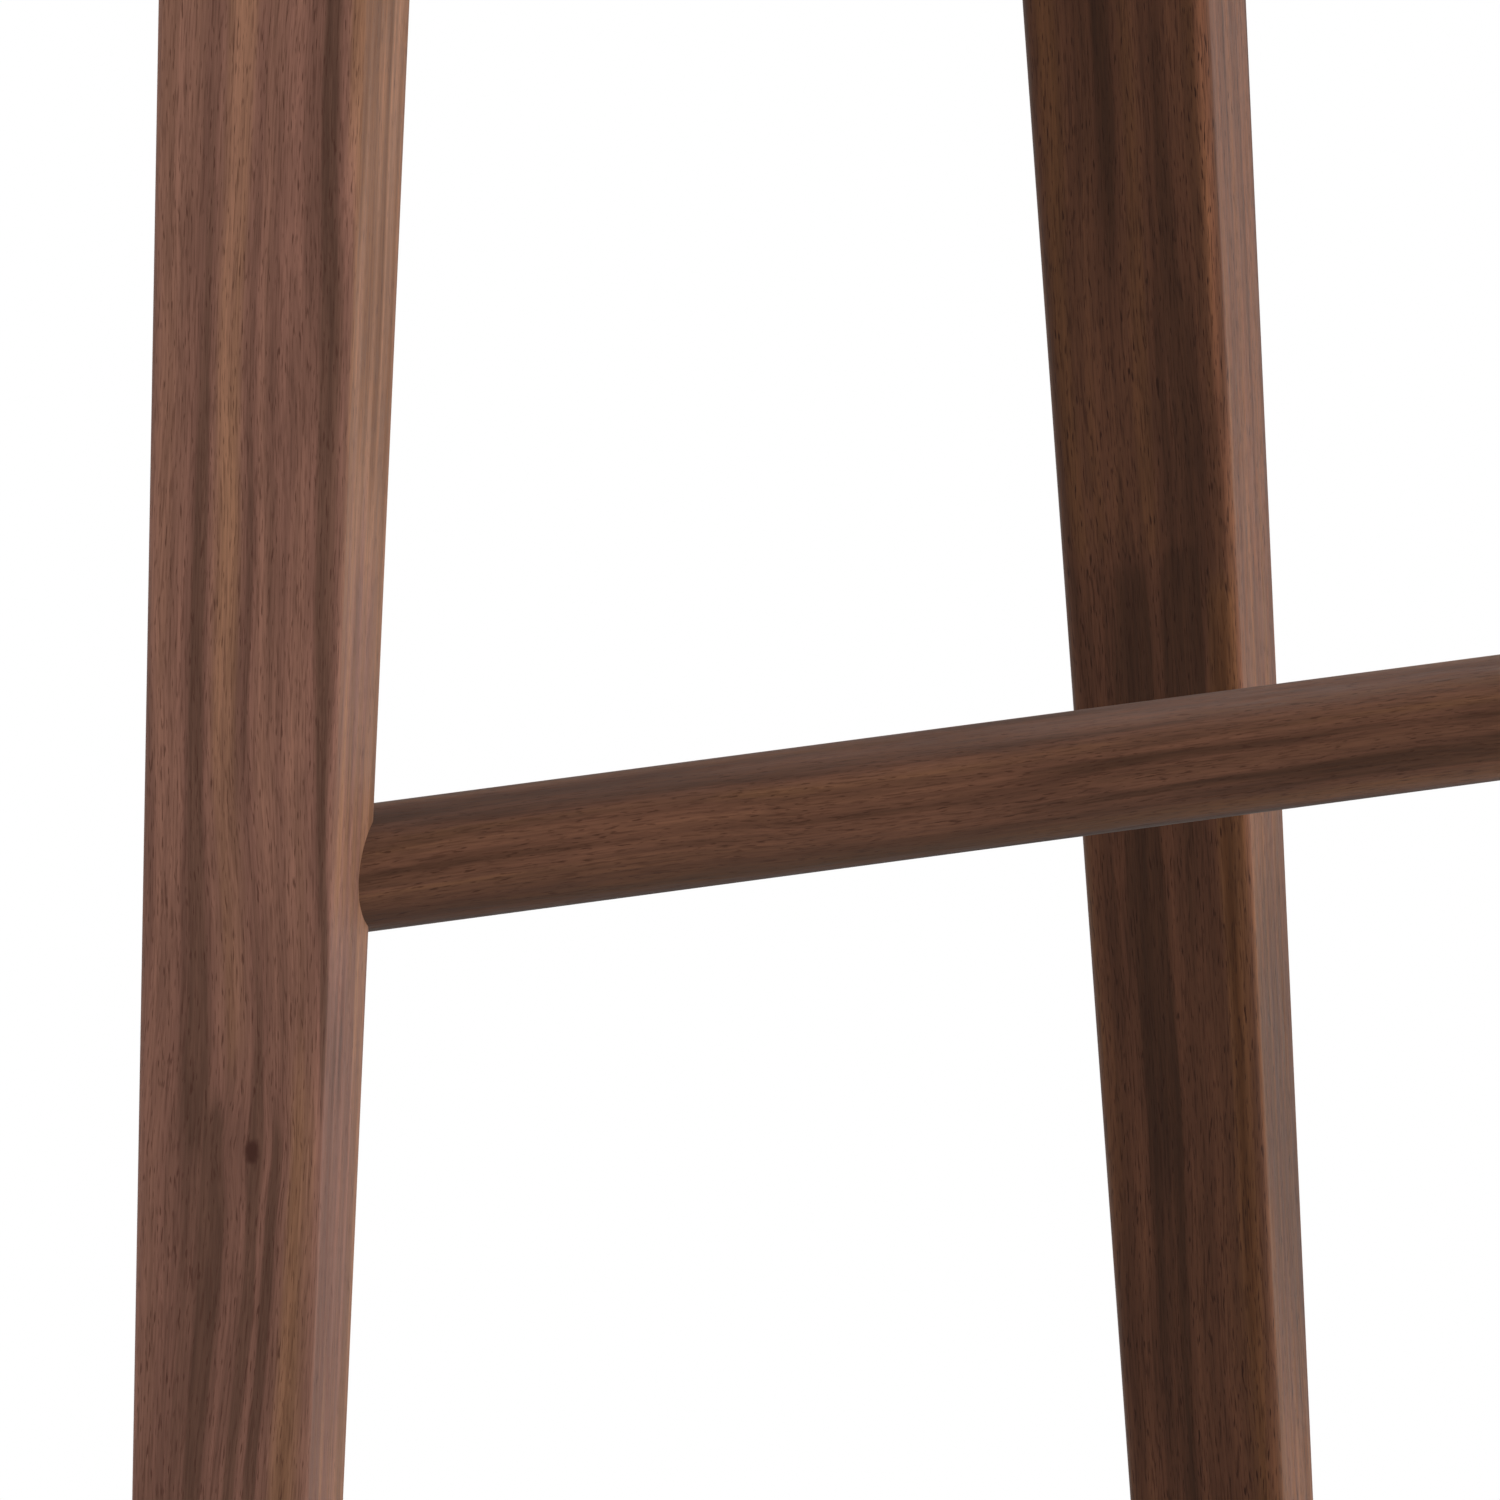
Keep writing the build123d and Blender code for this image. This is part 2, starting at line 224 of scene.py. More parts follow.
def round_knot(tree, local, knot):
    """Coordinates that flow round a knot, and the distance from its heart."""
    away = add(tree, "ShaderNodeVectorMath", (local, knot["place"]), operation="SUBTRACT")
    oval = add(tree, "ShaderNodeVectorMath", (away, KNOT_OVAL), operation="MULTIPLY")
    distance = add(tree, "ShaderNodeVectorMath", (oval,), operation="LENGTH")
    ragged = layer(tree, local, RAGGED_SIZE, -KNOT_RAGGED, KNOT_RAGGED)
    distance = add(tree, "ShaderNodeMath", (distance, ragged))
    pull = add(tree, "ShaderNodeMapRange", (distance, 0.0, knot["reach"], -KNOT_PULL, 0.0), **EASED)
    push = add(tree, "ShaderNodeVectorMath", (away, pull), operation="SCALE")
    local = add(tree, "ShaderNodeVectorMath", (local, push))
    beside = add(tree, "ShaderNodeVectorMath", (away, SWAY_OVAL), operation="MULTIPLY")
    beside = add(tree, "ShaderNodeVectorMath", (beside,), operation="LENGTH")
    sway = add(tree, "ShaderNodeMapRange", (beside, 0.0, SWAY_REACH, knot["sway"], 0.0), **EASED)
    sway = add(tree, "ShaderNodeCombineXYZ", {"Y": sway})
    return add(tree, "ShaderNodeVectorMath", (local, sway)), distance


def streaked(tree, near, figure, streaks):
    """The figure with streaks.

    Each has a middle, the half widths of its core and of its soft edge, a strength,
    and the heights where it starts and where it is full.
    """
    split = add(tree, "ShaderNodeSeparateXYZ", (near,))
    uneven = layer(tree, near, FADE_SIZE, *STREAK_FADE, detail=1.0)
    for middle, core, edge, strength, start, full in streaks:
        gap = add(tree, "ShaderNodeMath", (split.outputs["Y"], middle * MM), operation="SUBTRACT")
        gap = add(tree, "ShaderNodeMath", (gap,), operation="ABSOLUTE")
        band = (gap, core * MM, edge * MM, strength, 0.0)
        band = add(tree, "ShaderNodeMapRange", band, **EASED)
        grown = (split.outputs["Z"], start * MM, full * MM, 0.0, 1.0)
        grown = add(tree, "ShaderNodeMapRange", grown, **EASED)
        grown = add(tree, "ShaderNodeMath", (grown, uneven), operation="MULTIPLY")
        figure = add(tree, "ShaderNodeMath", (band, grown, figure), operation="MULTIPLY_ADD")
    return figure


def shaded(tree, near, colour, shades):
    """A colour made paler or darker along a direction, between two places in mm."""
    for direction, start, end, start_gain, end_gain in shades:
        along = add(tree, "ShaderNodeVectorMath", (near, direction), operation="DOT_PRODUCT")
        gain = (along, start * MM, end * MM, start_gain, end_gain)
        gain = add(tree, "ShaderNodeMapRange", gain, **EASED)
        colour = add(tree, "ShaderNodeVectorMath", (colour, gain), operation="SCALE")
    return colour


print("a knot draws the grain together by", KNOT_PULL)

# %% [markdown]
# ## The walnut finish
#
# The figure picks a colour from dark through mauve and rose to tan, and to ochre
# where a pale streak is strongest. The finer layers lighten and darken it, and the
# pores are mixed in last, because an open pore is a tiny groove that holds a dark
# oil. Fibres and pores give the bump, and fibres the slight changes of gloss. The
# surface is oiled and rubbed, so it is satin.

# %% Walnut finish


def walnut(name, turn, origin, board, tone=1.0, deepen=DEEPEN, depth=0.14, pores=0.7,
           gloss=WALNUT_GLOSS, streaks=(), shades=(), knot=None):
    """Oiled walnut on one board. turn lays the grain along local Z, about origin."""
    finish, tree = new_finish(name)
    rotation = Euler(turn)
    start = -(rotation.to_matrix() @ Vector(origin))
    here = add(tree, "ShaderNodeTexCoord").outputs["Object"]
    local = add(tree, "ShaderNodeMapping", {"Vector": here, "Location": start, "Rotation": rotation})
    if knot:
        local, heart = round_knot(tree, local, knot)
    apart = add(tree, "ShaderNodeVectorMath", (local, (0, 0, board)))
    bend = layer(tree, apart, WANDER_SIZE, -WANDER, WANDER, detail=1.0)
    shift = add(tree, "ShaderNodeCombineXYZ", (bend, bend))
    near = add(tree, "ShaderNodeVectorMath", (local, shift))
    place = add(tree, "ShaderNodeVectorMath", (apart, shift))

    figure = (FIGURE_MIDDLE - depth, FIGURE_MIDDLE + depth)
    figure = layer(tree, place, STREAK_SIZE, *figure, detail=3.0)
    figure = streaked(tree, near, figure, streaks)
    colour = add(tree, "ShaderNodeValToRGB", (figure,))
    stops = colour.color_ramp.elements
    stops.remove(stops[1])
    for index, (position, stop_colour) in enumerate(FIGURE_STOPS):
        stop = stops.new(position) if index else stops[0]
        stop.position = position
        stop.color = linear(stop_colour, tone, deepen)
    for size, darkest, lightest in GRAIN_LAYERS:
        gain = layer(tree, place, size, darkest, lightest)
        colour = add(tree, "ShaderNodeVectorMath", (colour, gain), operation="SCALE")
    colour = shaded(tree, near, colour, shades)

    dashes = layer(tree, place, DASH_SIZE, 0.0, DASH_SHARE * pores, span=DASH_SPAN, detail=1.0)
    holes = layer(tree, place, PORE_SIZE, 0.0, pores, span=PORE_SPAN, detail=1.0)
    oil = add(tree, "ShaderNodeMath", (dashes, holes), operation="MAXIMUM")
    dark_oil = linear(WALNUT_PORE, tone, deepen)
    colour = add(tree, "ShaderNodeMix", (oil, colour, dark_oil), data_type="RGBA")
    if knot:
        spot = (heart, *(share * knot["size"] for share in KNOT_SPOT), 1.0, 0.0)
        spot = add(tree, "ShaderNodeMapRange", spot, **EASED)
        knot_colour = linear(knot["colour"], tone)
        colour = add(tree, "ShaderNodeMix", (spot, colour, knot_colour), data_type="RGBA")

    fibres = layer(tree, place, FIBRE_SIZE, 0.0, FIBRE_RELIEF)
    relief = add(tree, "ShaderNodeMath", (fibres, oil))
    bump = {**WALNUT_BUMP, "Height": relief}
    shader = {
        "Base Color": colour,
        "Roughness": layer(tree, place, FIBRE_SIZE, *WALNUT_ROUGH),
        "Normal": add(tree, "ShaderNodeBump", bump, invert=True),
        "Specular IOR Level": gloss,
    }
    shader = add(tree, "ShaderNodeBsdfPrincipled", shader)
    add(tree, "ShaderNodeOutputMaterial", (shader,))
    return finish


print("walnut is ready to be cut into boards")

# %% [markdown]
# ## Mesh helpers
#
# A loft is a stack of closed rings of points with faces between them. Legs and
# straps are both lofts. A finished piece is always a plain mesh at the origin, so
# modifiers are applied by taking the evaluated mesh. Small hardware starts from a
# merged copy of its construction solid, and a fine bevel then breaks its edges,
# because real metal always shows a thin highlight there.

# %% Meshes, bevels and normals
BEVEL_FROM = math.radians(35)
BEVEL_STEPS = 2
SHARP_FROM = 40                  # degrees between two faces
MERGE_GAP = 0.002 * MM
FLAT_WITHIN = math.radians(0.3)


def new_object(name, mesh):
    """A new object in the scene that shows a mesh."""
    made = bpy.data.objects.new(name, mesh)
    bpy.context.scene.collection.objects.link(made)
    return made


def loft(name, rings):
    """A closed mesh through rings of points."""
    count = len(rings[0])
    points = [tuple(point) for ring in rings for point in ring]
    faces = [tuple(reversed(range(count))), tuple(range(len(points) - count, len(points)))]
    for low in range(0, len(points) - count, count):
        for i in range(count):
            j = (i + 1) % count
            faces.append((low + i, low + j, low + count + j, low + count + i))
    mesh = bpy.data.meshes.new(name)
    mesh.from_pydata(points, [], faces)
    shape = bmesh.new()
    shape.from_mesh(mesh)
    bmesh.ops.recalc_face_normals(shape, faces=shape.faces)
    shape.to_mesh(mesh)
    shape.free()
    return new_object(name, mesh)


def evaluated(piece):
    """The mesh that a piece shows with its modifiers."""
    graph = bpy.context.evaluated_depsgraph_get()
    return bpy.data.meshes.new_from_object(piece.evaluated_get(graph))


def apply_modifiers(piece):
    """Keep the evaluated mesh of a piece and drop its modifiers."""
    made = evaluated(piece)
    piece.modifiers.clear()
    piece.data = made


def cut_away(piece, cutter):
    """Cut the shape of another object out of a piece, and drop that object."""
    cut = piece.modifiers.new("Cut", "BOOLEAN")
    cut.object = cutter
    cut.operation = "DIFFERENCE"
    cut.solver = "EXACT"
    apply_modifiers(piece)
    bpy.data.objects.remove(cutter)


def smooth(piece, sharp_degrees=SHARP_FROM):
    """Smooth shading that keeps flat faces flat and sharp edges sharp."""
    piece.data.shade_smooth()
    piece.data.set_sharp_from_angle(angle=math.radians(sharp_degrees))
    weighted = piece.modifiers.new("Normals", "WEIGHTED_NORMAL")
    weighted.keep_sharp = True
    apply_modifiers(piece)


def place_piece(piece, finish, slot, body, *nodes):
    """Give a piece its finish, and let it ride in place of its nodes."""
    piece.data.materials.clear()
    piece.data.materials.append(finish)
    if body:
        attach(piece, body)
    if nodes:
        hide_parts(*nodes)
    return piece


def dress(node, edge_mm, finish, slot, body):
    """Replace a node by a merged copy of its solid with finely bevelled edges."""
    shape = bmesh.new()
    shape.from_mesh(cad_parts[node].data)
    bmesh.ops.remove_doubles(shape, verts=shape.verts, dist=MERGE_GAP)
    flat = {"angle_limit": FLAT_WITHIN, "delimit": {"NORMAL"}}
    bmesh.ops.dissolve_limit(shape, verts=shape.verts, edges=shape.edges, **flat)
    shape.verts.index_update()
    points = [vert.co.copy() for vert in shape.verts]
    faces = [[vert.index for vert in face.verts] for face in shape.faces]
    shape.free()
    mesh = bpy.data.meshes.new(node + "_dressed")
    mesh.from_pydata(points, [], faces)
    piece = new_object(node + "_dressed", mesh)
    bevel = piece.modifiers.new("Edges", "BEVEL")
    bevel.width = edge_mm * MM
    bevel.segments = BEVEL_STEPS
    bevel.limit_method = "ANGLE"
    bevel.angle_limit = BEVEL_FROM
    apply_modifiers(piece)
    smooth(piece)
    return place_piece(piece, finish, slot, body, node)


print("edges sharper than", round(math.degrees(BEVEL_FROM)), "degrees get a bevel")

# %% [markdown]
# ## Legs
#
# A leg is a square post that tapers towards the floor and leans outwards. It is
# turned so that a flat face looks at the middle of the rack. Its corners are
# softly rounded, its top edge is eased and its foot is chamfered. A loft through
# rounded squares gives exactly that. A shallow round seat is then cut into the
# corner that carries the spreader's brass lug. The place and lean of each leg come
# from its glide and its lug in the frame.

# %% Leg sizes and places
LEG_FOOT_WIDTH = 28.5 * MM
LEG_TOP_WIDTH = 39.5 * MM
LEG_CORNER = 3.5 * MM
LEG_TOP_ROUND = 3.0 * MM
LEG_SHARP_FROM = 35
LEG_FOOT_CHAMFER = 1.5 * MM
LEAST_CORNER = 0.5 * MM
CORNER_STEPS = 12
LEG_LEVELS = 24
TOP_STEPS = 6

foot_low, foot_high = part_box("front_left_glide")
FOOT = (foot_low + foot_high) / 2
leg_low, leg_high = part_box("front_left_leg")
LEG_BASE_Z, LEG_TOP_Z = leg_low.z, leg_high.z
lug_low, lug_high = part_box("front_left_pivot_lug")
LUG = (lug_low + lug_high) / 2
stretcher_low, stretcher_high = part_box("front_stretcher")
STRETCHER_Z = (stretcher_low.z + stretcher_high.z) / 2
LEAN = (LUG.x - FOOT.x) / (LUG.z - LEG_BASE_Z)
LEG_TURN = math.atan2(abs(FOOT.y), abs(FOOT.x + LEAN * (STRETCHER_Z - LEG_BASE_Z)))
LEG_TAPER = (LEG_TOP_WIDTH - LEG_FOOT_WIDTH) / (LEG_TOP_Z - LEG_BASE_Z)


def leg_axis(side, front_back, z):
    """The middle of a leg at a height."""
    return Vector((side * (abs(FOOT.x) - LEAN * (z - LEG_BASE_Z)), front_back * abs(FOOT.y), z))


def leg_width(z):
    """Width across the flats of a leg at a height."""
    return LEG_FOOT_WIDTH + LEG_TAPER * (z - LEG_BASE_Z)


print(f"legs lean {math.degrees(math.atan(LEAN)):.1f} and turn {math.degrees(LEG_TURN):.1f} degrees")

# %% Leg shape
LUG_SHANK = 20.0 * MM
LUG_SEAT_RADIUS = 8.27 * MM
SEAT_SIDES = 64
SEAT_CUTTER_LENGTH = 40 * MM


def leg_ring(side, front_back, z, inset):
    """A rounded square around a leg's axis."""
    half = leg_width(z) / 2 - inset
    corner = max(LEG_CORNER - inset, LEAST_CORNER)
    turn = Matrix.Rotation(side * front_back * LEG_TURN, 3, "Z")
    middle = leg_axis(side, front_back, z)
    ring = []
    for quarter in range(4):
        across = Vector((1, 1, 0)) * (half - corner)
        centre = Matrix.Rotation(math.radians(90 * quarter), 3, "Z") @ across
        for step in range(CORNER_STEPS + 1):
            angle = math.radians(90 * (quarter + step / CORNER_STEPS))
            point = centre + corner * Vector((math.cos(angle), math.sin(angle), 0))
            ring.append(middle + turn @ point)
    return ring


def leg_piece(side_name, frame_name):
    """A leg with its eased top, chamfered foot and lug seat."""
    side, front_back = SIDES[side_name], FRAMES[frame_name]
    levels = [(LEG_BASE_Z, LEG_FOOT_CHAMFER)]
    straight = (LEG_BASE_Z + LEG_FOOT_CHAMFER, LEG_TOP_Z - LEG_TOP_ROUND)
    for i in range(LEG_LEVELS + 1):
        levels.append((straight[0] + (straight[1] - straight[0]) * i / LEG_LEVELS, 0.0))
    for i in range(1, TOP_STEPS + 1):
        angle = math.radians(90 * i / TOP_STEPS)
        height = LEG_TOP_Z - LEG_TOP_ROUND * (1 - math.sin(angle))
        levels.append((height, LEG_TOP_ROUND * (1 - math.cos(angle))))
    rings = [leg_ring(side, front_back, z, inset) for z, inset in levels]
    post = loft(f"{frame_name}_{side_name}_post", rings)
    low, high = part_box(f"{frame_name}_{side_name}_pivot_lug")
    seat_y = low.y + LUG_SHANK if front_back < 0 else high.y - LUG_SHANK
    middle = (low + high) / 2
    middle.y = seat_y - front_back * SEAT_CUTTER_LENGTH / 2
    seat = bmesh.new()
    rounds = {"radius1": LUG_SEAT_RADIUS, "radius2": LUG_SEAT_RADIUS, "depth": SEAT_CUTTER_LENGTH}
    bmesh.ops.create_cone(seat, cap_ends=True, segments=SEAT_SIDES, **rounds)
    seat_mesh = bpy.data.meshes.new("seat_cutter")
    seat.to_mesh(seat_mesh)
    seat.free()
    seat_mesh.transform(Matrix.Translation(middle) @ Matrix.Rotation(math.pi / 2, 4, "X"))
    cut_away(post, new_object("seat_cutter", seat_mesh))
    smooth(post, LEG_SHARP_FROM)
    return post


print(f"legs widen from {LEG_FOOT_WIDTH / MM:.1f} to {LEG_TOP_WIDTH / MM:.1f} mm")

# %% [markdown]
# ## Boards for the legs
#
# Each leg is cut from its own board. The front left one is a mid brown board with
# a tan streak between two dark ones, a dark band beside its corner and one small
# knot, and it darkens a little towards the foot. The back right one is dark, partly
# as open heartwood with a darker patch and partly as painted shade, and its edge is
# painted much paler, partly as paler wood and partly as painted light. The other two
# lie between them.

# %% Legs in their boards
LEAN_ANGLE = math.atan(LEAN)
ALONG = (0, 0, 1)
ALL_ALONG = (-2, -1)             # a streak that is full from below the floor upwards
# The pale edge of the back right leg is partly paler wood and partly painted light, where that edge turns to
# the key light.
PALE_EDGE_PAINTED_LIGHT_DRIFT = 0.004               # how much narrower the pale edge gets per mm downwards
PALE_EDGE_PAINTED_LIGHT_LEVEL = 210                 # mm above the floor, where its width is the one that is given
CORNER_LINE = (0, 1, LEG_TAPER / 2)
CORNER_MM = -LEG_FOOT_WIDTH / 2 / MM
PALE_EDGE_PAINTED_LIGHT_LINE = (0, 1, LEG_TAPER / 2 - PALE_EDGE_PAINTED_LIGHT_DRIFT)
PALE_EDGE_PAINTED_LIGHT_MM = CORNER_MM - PALE_EDGE_PAINTED_LIGHT_LEVEL * PALE_EDGE_PAINTED_LIGHT_DRIFT
LEG_BOARDS = {
    ("left", "front"): {
        "board": 0.4,
        "depth": 0.11,
        "gloss": 0.06,
        "streaks": (
            (3.0, 0.8, 4.1, 0.22, 196, 216),
            (7.8, 0.4, 2.0, -0.20, *ALL_ALONG),
            (-0.9, 0.3, 1.7, -0.14, *ALL_ALONG),
            (-15.0, 0.8, 3.6, -0.32, 190, 230),
            (-21.0, 2.6, 7.2, 0.46, *ALL_ALONG),
            (-18.5, 2.5, 4.5, 0.42, 290, 235),
            (2.0, 8.0, 14.0, -0.09, 270, 200),
            (5.0, 0.5, 2.0, -0.28, 208, 190),
            (-4.3, 0.4, 1.8, -0.26, 215, 190),
            (8.0, 0.6, 2.6, 0.20, 210, 190),
            (-10.1, 0.8, 3.8, 0.22, 225, 195),
        ),
        "shades": (
            (ALONG, 150, 370, 0.97, 1.06),
            (CORNER_LINE, CORNER_MM + 0.3, CORNER_MM + 2.5, 0.92, 1.0),
        ),
        "knot": {
            "place": (-16.3 * MM, -4.8 * MM, 195.5 * MM),
            "reach": 9 * MM,
            "sway": 4.2 * MM,
            "size": 2.6 * MM,
            "colour": "#432922",
        },
    },
    ("right", "back"): {
        "board": 3.1,
        # Painted shade in part: this low tone darkens the back right leg as if it stood in shade, and it is
        # also dark wood.
        "tone": 0.43,
        "depth": 0.20,
        "pores": 1.0,
        "streaks": (
            (4.0, 0.9, 4.5, -0.10, *ALL_ALONG),
            (14.5, 0.9, 4.5, 0.12, *ALL_ALONG),
            (2.2, 11.0, 12.8, -0.24, 217, 209),
            (2.2, 11.0, 12.8, 0.14, 184, 166),
            (-13.2, 1.4, 3.2, 0.32, 214, 204),
        ),
        # Partly paler wood and partly painted light: the edge towards the key light is painted up to 1.88
        # times paler.
        "shades": ((PALE_EDGE_PAINTED_LIGHT_LINE, PALE_EDGE_PAINTED_LIGHT_MM + 0.2, PALE_EDGE_PAINTED_LIGHT_MM + 1.8, 1.88, 1.0),),
    },
    ("right", "front"): {"board": 5.7, "tone": 0.8},
    ("left", "back"): {"board": 8.3, "tone": 0.68},
}

for (side_name, frame_name), board in LEG_BOARDS.items():
    side, front_back = SIDES[side_name], FRAMES[frame_name]
    turn = (0, side * LEAN_ANGLE, -side * front_back * LEG_TURN)
    origin = leg_axis(side, front_back, 0)
    finish = walnut(f"walnut_{frame_name}_{side_name}_leg", turn, origin, **board)
    post = leg_piece(side_name, frame_name)
    node = f"{frame_name}_{side_name}_leg"
    place_piece(post, finish, "walnut", f"{frame_name}_frame", node)
    print(post.name, len(post.data.polygons), "faces")

# %% [markdown]
# ## Rails and stretchers
#
# These are plain turned bars, glued into round sockets in the legs. A Geometry
# Nodes tree sweeps a fine circle along a straight line. Its length and diameter
# are named inputs, so one tree makes all four bars. The helpers that start a tree,
# end it and run it serve the rows of hardware and the stitches later on.

# %% Helpers for node trees


def node_tree(name, *sizes):
    """A Geometry Nodes tree with named float inputs, and its two end nodes."""
    tree = bpy.data.node_groups.new(name, "GeometryNodeTree")
    tree.interface.new_socket("Geometry", in_out="INPUT", socket_type="NodeSocketGeometry")
    for size in sizes:
        tree.interface.new_socket(size, in_out="INPUT", socket_type="NodeSocketFloat")
    tree.interface.new_socket("Finish", in_out="INPUT", socket_type="NodeSocketMaterial")
    tree.interface.new_socket("Geometry", in_out="OUTPUT", socket_type="NodeSocketGeometry")
    return tree, add(tree, "NodeGroupInput").outputs


def finish_tree(tree, given, geometry):
    """End a tree in Realize Instances and Set Material."""
    real = add(tree, "GeometryNodeRealizeInstances", (geometry,))
    dressed_up = {"Geometry": real, "Material": given["Finish"]}
    add(tree, "NodeGroupOutput", (add(tree, "GeometryNodeSetMaterial", dressed_up),))


def run_tree(piece, tree, finish, **sizes):
    """Run a tree on an object with its named sizes and keep the plain mesh."""
    modifier = piece.modifiers.new(tree.name, "NODES")
    modifier.node_group = tree
    wanted = {"Finish": finish, **sizes}
    for item in tree.interface.items_tree:
        if item.in_out == "INPUT" and item.name in wanted:
            modifier[item.identifier] = wanted[item.name]
    made, name = evaluated(piece), piece.name
    bpy.data.objects.remove(piece)
    return new_object(name, made)


def tree_piece(node, tree, finish, where, **sizes):
    """The piece that a tree makes for a node, moved to its place."""
    blank = new_object(f"{node}_turned", bpy.data.meshes.new(node))
    piece = run_tree(blank, tree, finish, **sizes)
    piece.data.transform(Matrix.Translation(where))
    return piece


print("node trees end in Realize Instances and Set Material")

# %% A turned bar as a node tree
BAR_SIDES = 160

bar_tree, bar = node_tree("turned_bar", "Length", "Diameter")
half_length = add(bar_tree, "ShaderNodeMath", (bar["Length"], 0.5), operation="MULTIPLY")
bar_end = add(bar_tree, "ShaderNodeCombineXYZ", (half_length,))
bar_start = add(bar_tree, "ShaderNodeVectorMath", (bar_end, -1.0), operation="SCALE")
bar_line = add(bar_tree, "GeometryNodeCurvePrimitiveLine", {"Start": bar_start, "End": bar_end})
radius = add(bar_tree, "ShaderNodeMath", (bar["Diameter"], 0.5), operation="MULTIPLY")
bar_round = {"Resolution": BAR_SIDES, "Radius": radius}
bar_round = add(bar_tree, "GeometryNodeCurvePrimitiveCircle", bar_round)
swept = {"Curve": bar_line, "Profile Curve": bar_round, "Fill Caps": True}
finish_tree(bar_tree, bar, add(bar_tree, "GeometryNodeCurveToMesh", swept))
print("turned_bar has", len(bar_tree.nodes), "nodes")

# %% Rails and stretchers in their boards
GRAIN_ALONG_X = (0, math.radians(-90), 0)
# Local X of a bar points down and local Z to the right. A bar is much longer than thick.
# Painted shade and light on the front stretcher: its top is painted darker near the left leg, its underside
# darker, and the underside paler again near the right end.
PAINTED_SHADE_UPPER_LEFT = (-24, 0, -1)
PAINTED_SHADE_LOWER_LEFT = (14, 0, -0.3)
PAINTED_LIGHT_LOWER_RIGHT = (11, 0, 1)
BAR_BOARDS = {
    "front_stretcher": {
        "board": 11.2,
        "tone": 0.47,
        "deepen": (1.0, 1.10, 1.36),
        "depth": 0.20,
        "gloss": 0.05,
        "streaks": ((-11.0, 0.4, 1.6, -0.16, -130, -85),),
        "shades": (
            (ALONG, -300, -20, 1.20, 0.84),
            # painted shade on the top near the left leg and on the underside, painted light on the underside
            # near the right end
            (PAINTED_SHADE_UPPER_LEFT, 240, 460, 1.0, 0.71),
            (PAINTED_SHADE_LOWER_LEFT, 80, 190, 1.0, 0.60),
            (PAINTED_LIGHT_LOWER_RIGHT, 0, 70, 1.0, 1.45),
        ),
    },
    "back_stretcher": {"board": 13.9, "tone": 0.62},
    "front_top_rail": {"board": 16.4, "tone": 0.72},
    "back_top_rail": {"board": 19.1, "tone": 0.64},
}

for node, board in BAR_BOARDS.items():
    low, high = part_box(node)
    middle = (low + high) / 2
    finish = walnut(f"walnut_{node}", GRAIN_ALONG_X, middle, **board)
    sizes = {"Length": high.x - low.x, "Diameter": high.z - low.z}
    turned_bar = tree_piece(node, bar_tree, finish, middle, **sizes)
    smooth(turned_bar)
    place_piece(turned_bar, finish, "walnut", f"{node.split('_')[0]}_frame", node)
    print(turned_bar.name, {name: round(size / MM) for name, size in sizes.items()}, "mm")

# %% [markdown]
# ## Spreader links
#
# A spreader is two walnut links that meet under a brass hinge. Their solids have
# the right shape already, so a merged copy with softened edges is enough.

# %% Links
GRAIN_ALONG_Y = (math.radians(90), 0, 0)
LINK_EDGE = 0.3
LINK_BOARDS = {
    ("left", "front"): {"board": 22.0, "tone": 0.82},
    ("left", "back"): {"board": 24.6, "tone": 0.72},
    ("right", "front"): {"board": 27.3, "tone": 0.74},
    ("right", "back"): {"board": 29.8, "tone": 0.66},
}

for (side_name, frame_name), board in LINK_BOARDS.items():
    node = f"{side_name}_{frame_name}_link"
    low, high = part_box(node)
    finish = walnut(f"walnut_{node}", GRAIN_ALONG_Y, (low + high) / 2, **board)
    link = dress(node, LINK_EDGE, finish, "walnut", node)
    print(link.name, f"{(high.y - low.y) / MM:.0f} mm long")

# %% [markdown]
# ## Aged brass
#
# The lugs, pins, hinges and rivets are solid brass that was brushed and then left
# to dull. Brass is a metal, so its colour sits in the reflection. Fine brushed
# scratches vary the roughness, and a soft brown tarnish gathers in patches.

# %% Brass finish
BRASS_BRIGHT = "#b8965a"
BRASS_TARNISH = "#8f6d40"
BRASS_ROUGH = (0.28, 0.42)
BRASS_BUMP = {"Strength": 0.12, "Distance": 0.02 * MM}
BRUSH_SIZE = (0.12, 6, 6)
TARNISH_SIZE = (5, 5, 5)

brass, brass_tree = new_finish("aged_brushed_brass")
brass_place = add(brass_tree, "ShaderNodeTexCoord").outputs["Object"]
patches = layer(brass_tree, brass_place, TARNISH_SIZE, detail=4.0)
tarnish = (patches, linear(BRASS_BRIGHT), linear(BRASS_TARNISH))
brushed = layer(brass_tree, brass_place, BRUSH_SIZE)
scratches = {**BRASS_BUMP, "Height": brushed}
brass_shader = {
    "Base Color": add(brass_tree, "ShaderNodeMix", tarnish, data_type="RGBA"),
    "Roughness": layer(brass_tree, brass_place, BRUSH_SIZE, *BRASS_ROUGH),
    "Normal": add(brass_tree, "ShaderNodeBump", scratches),
    "Metallic": 1.0,
}
brass_shader = add(brass_tree, "ShaderNodeBsdfPrincipled", brass_shader)
add(brass_tree, "ShaderNodeOutputMaterial", (brass_shader,))
print(brass.name, "has", len(brass_tree.nodes), "nodes")

# %% Lugs, pins and hinge leaves
LUG_EDGE, PIVOT_EDGE, LEAF_EDGE, HINGE_PIN_EDGE = 0.35, 0.5, 0.2, 0.4

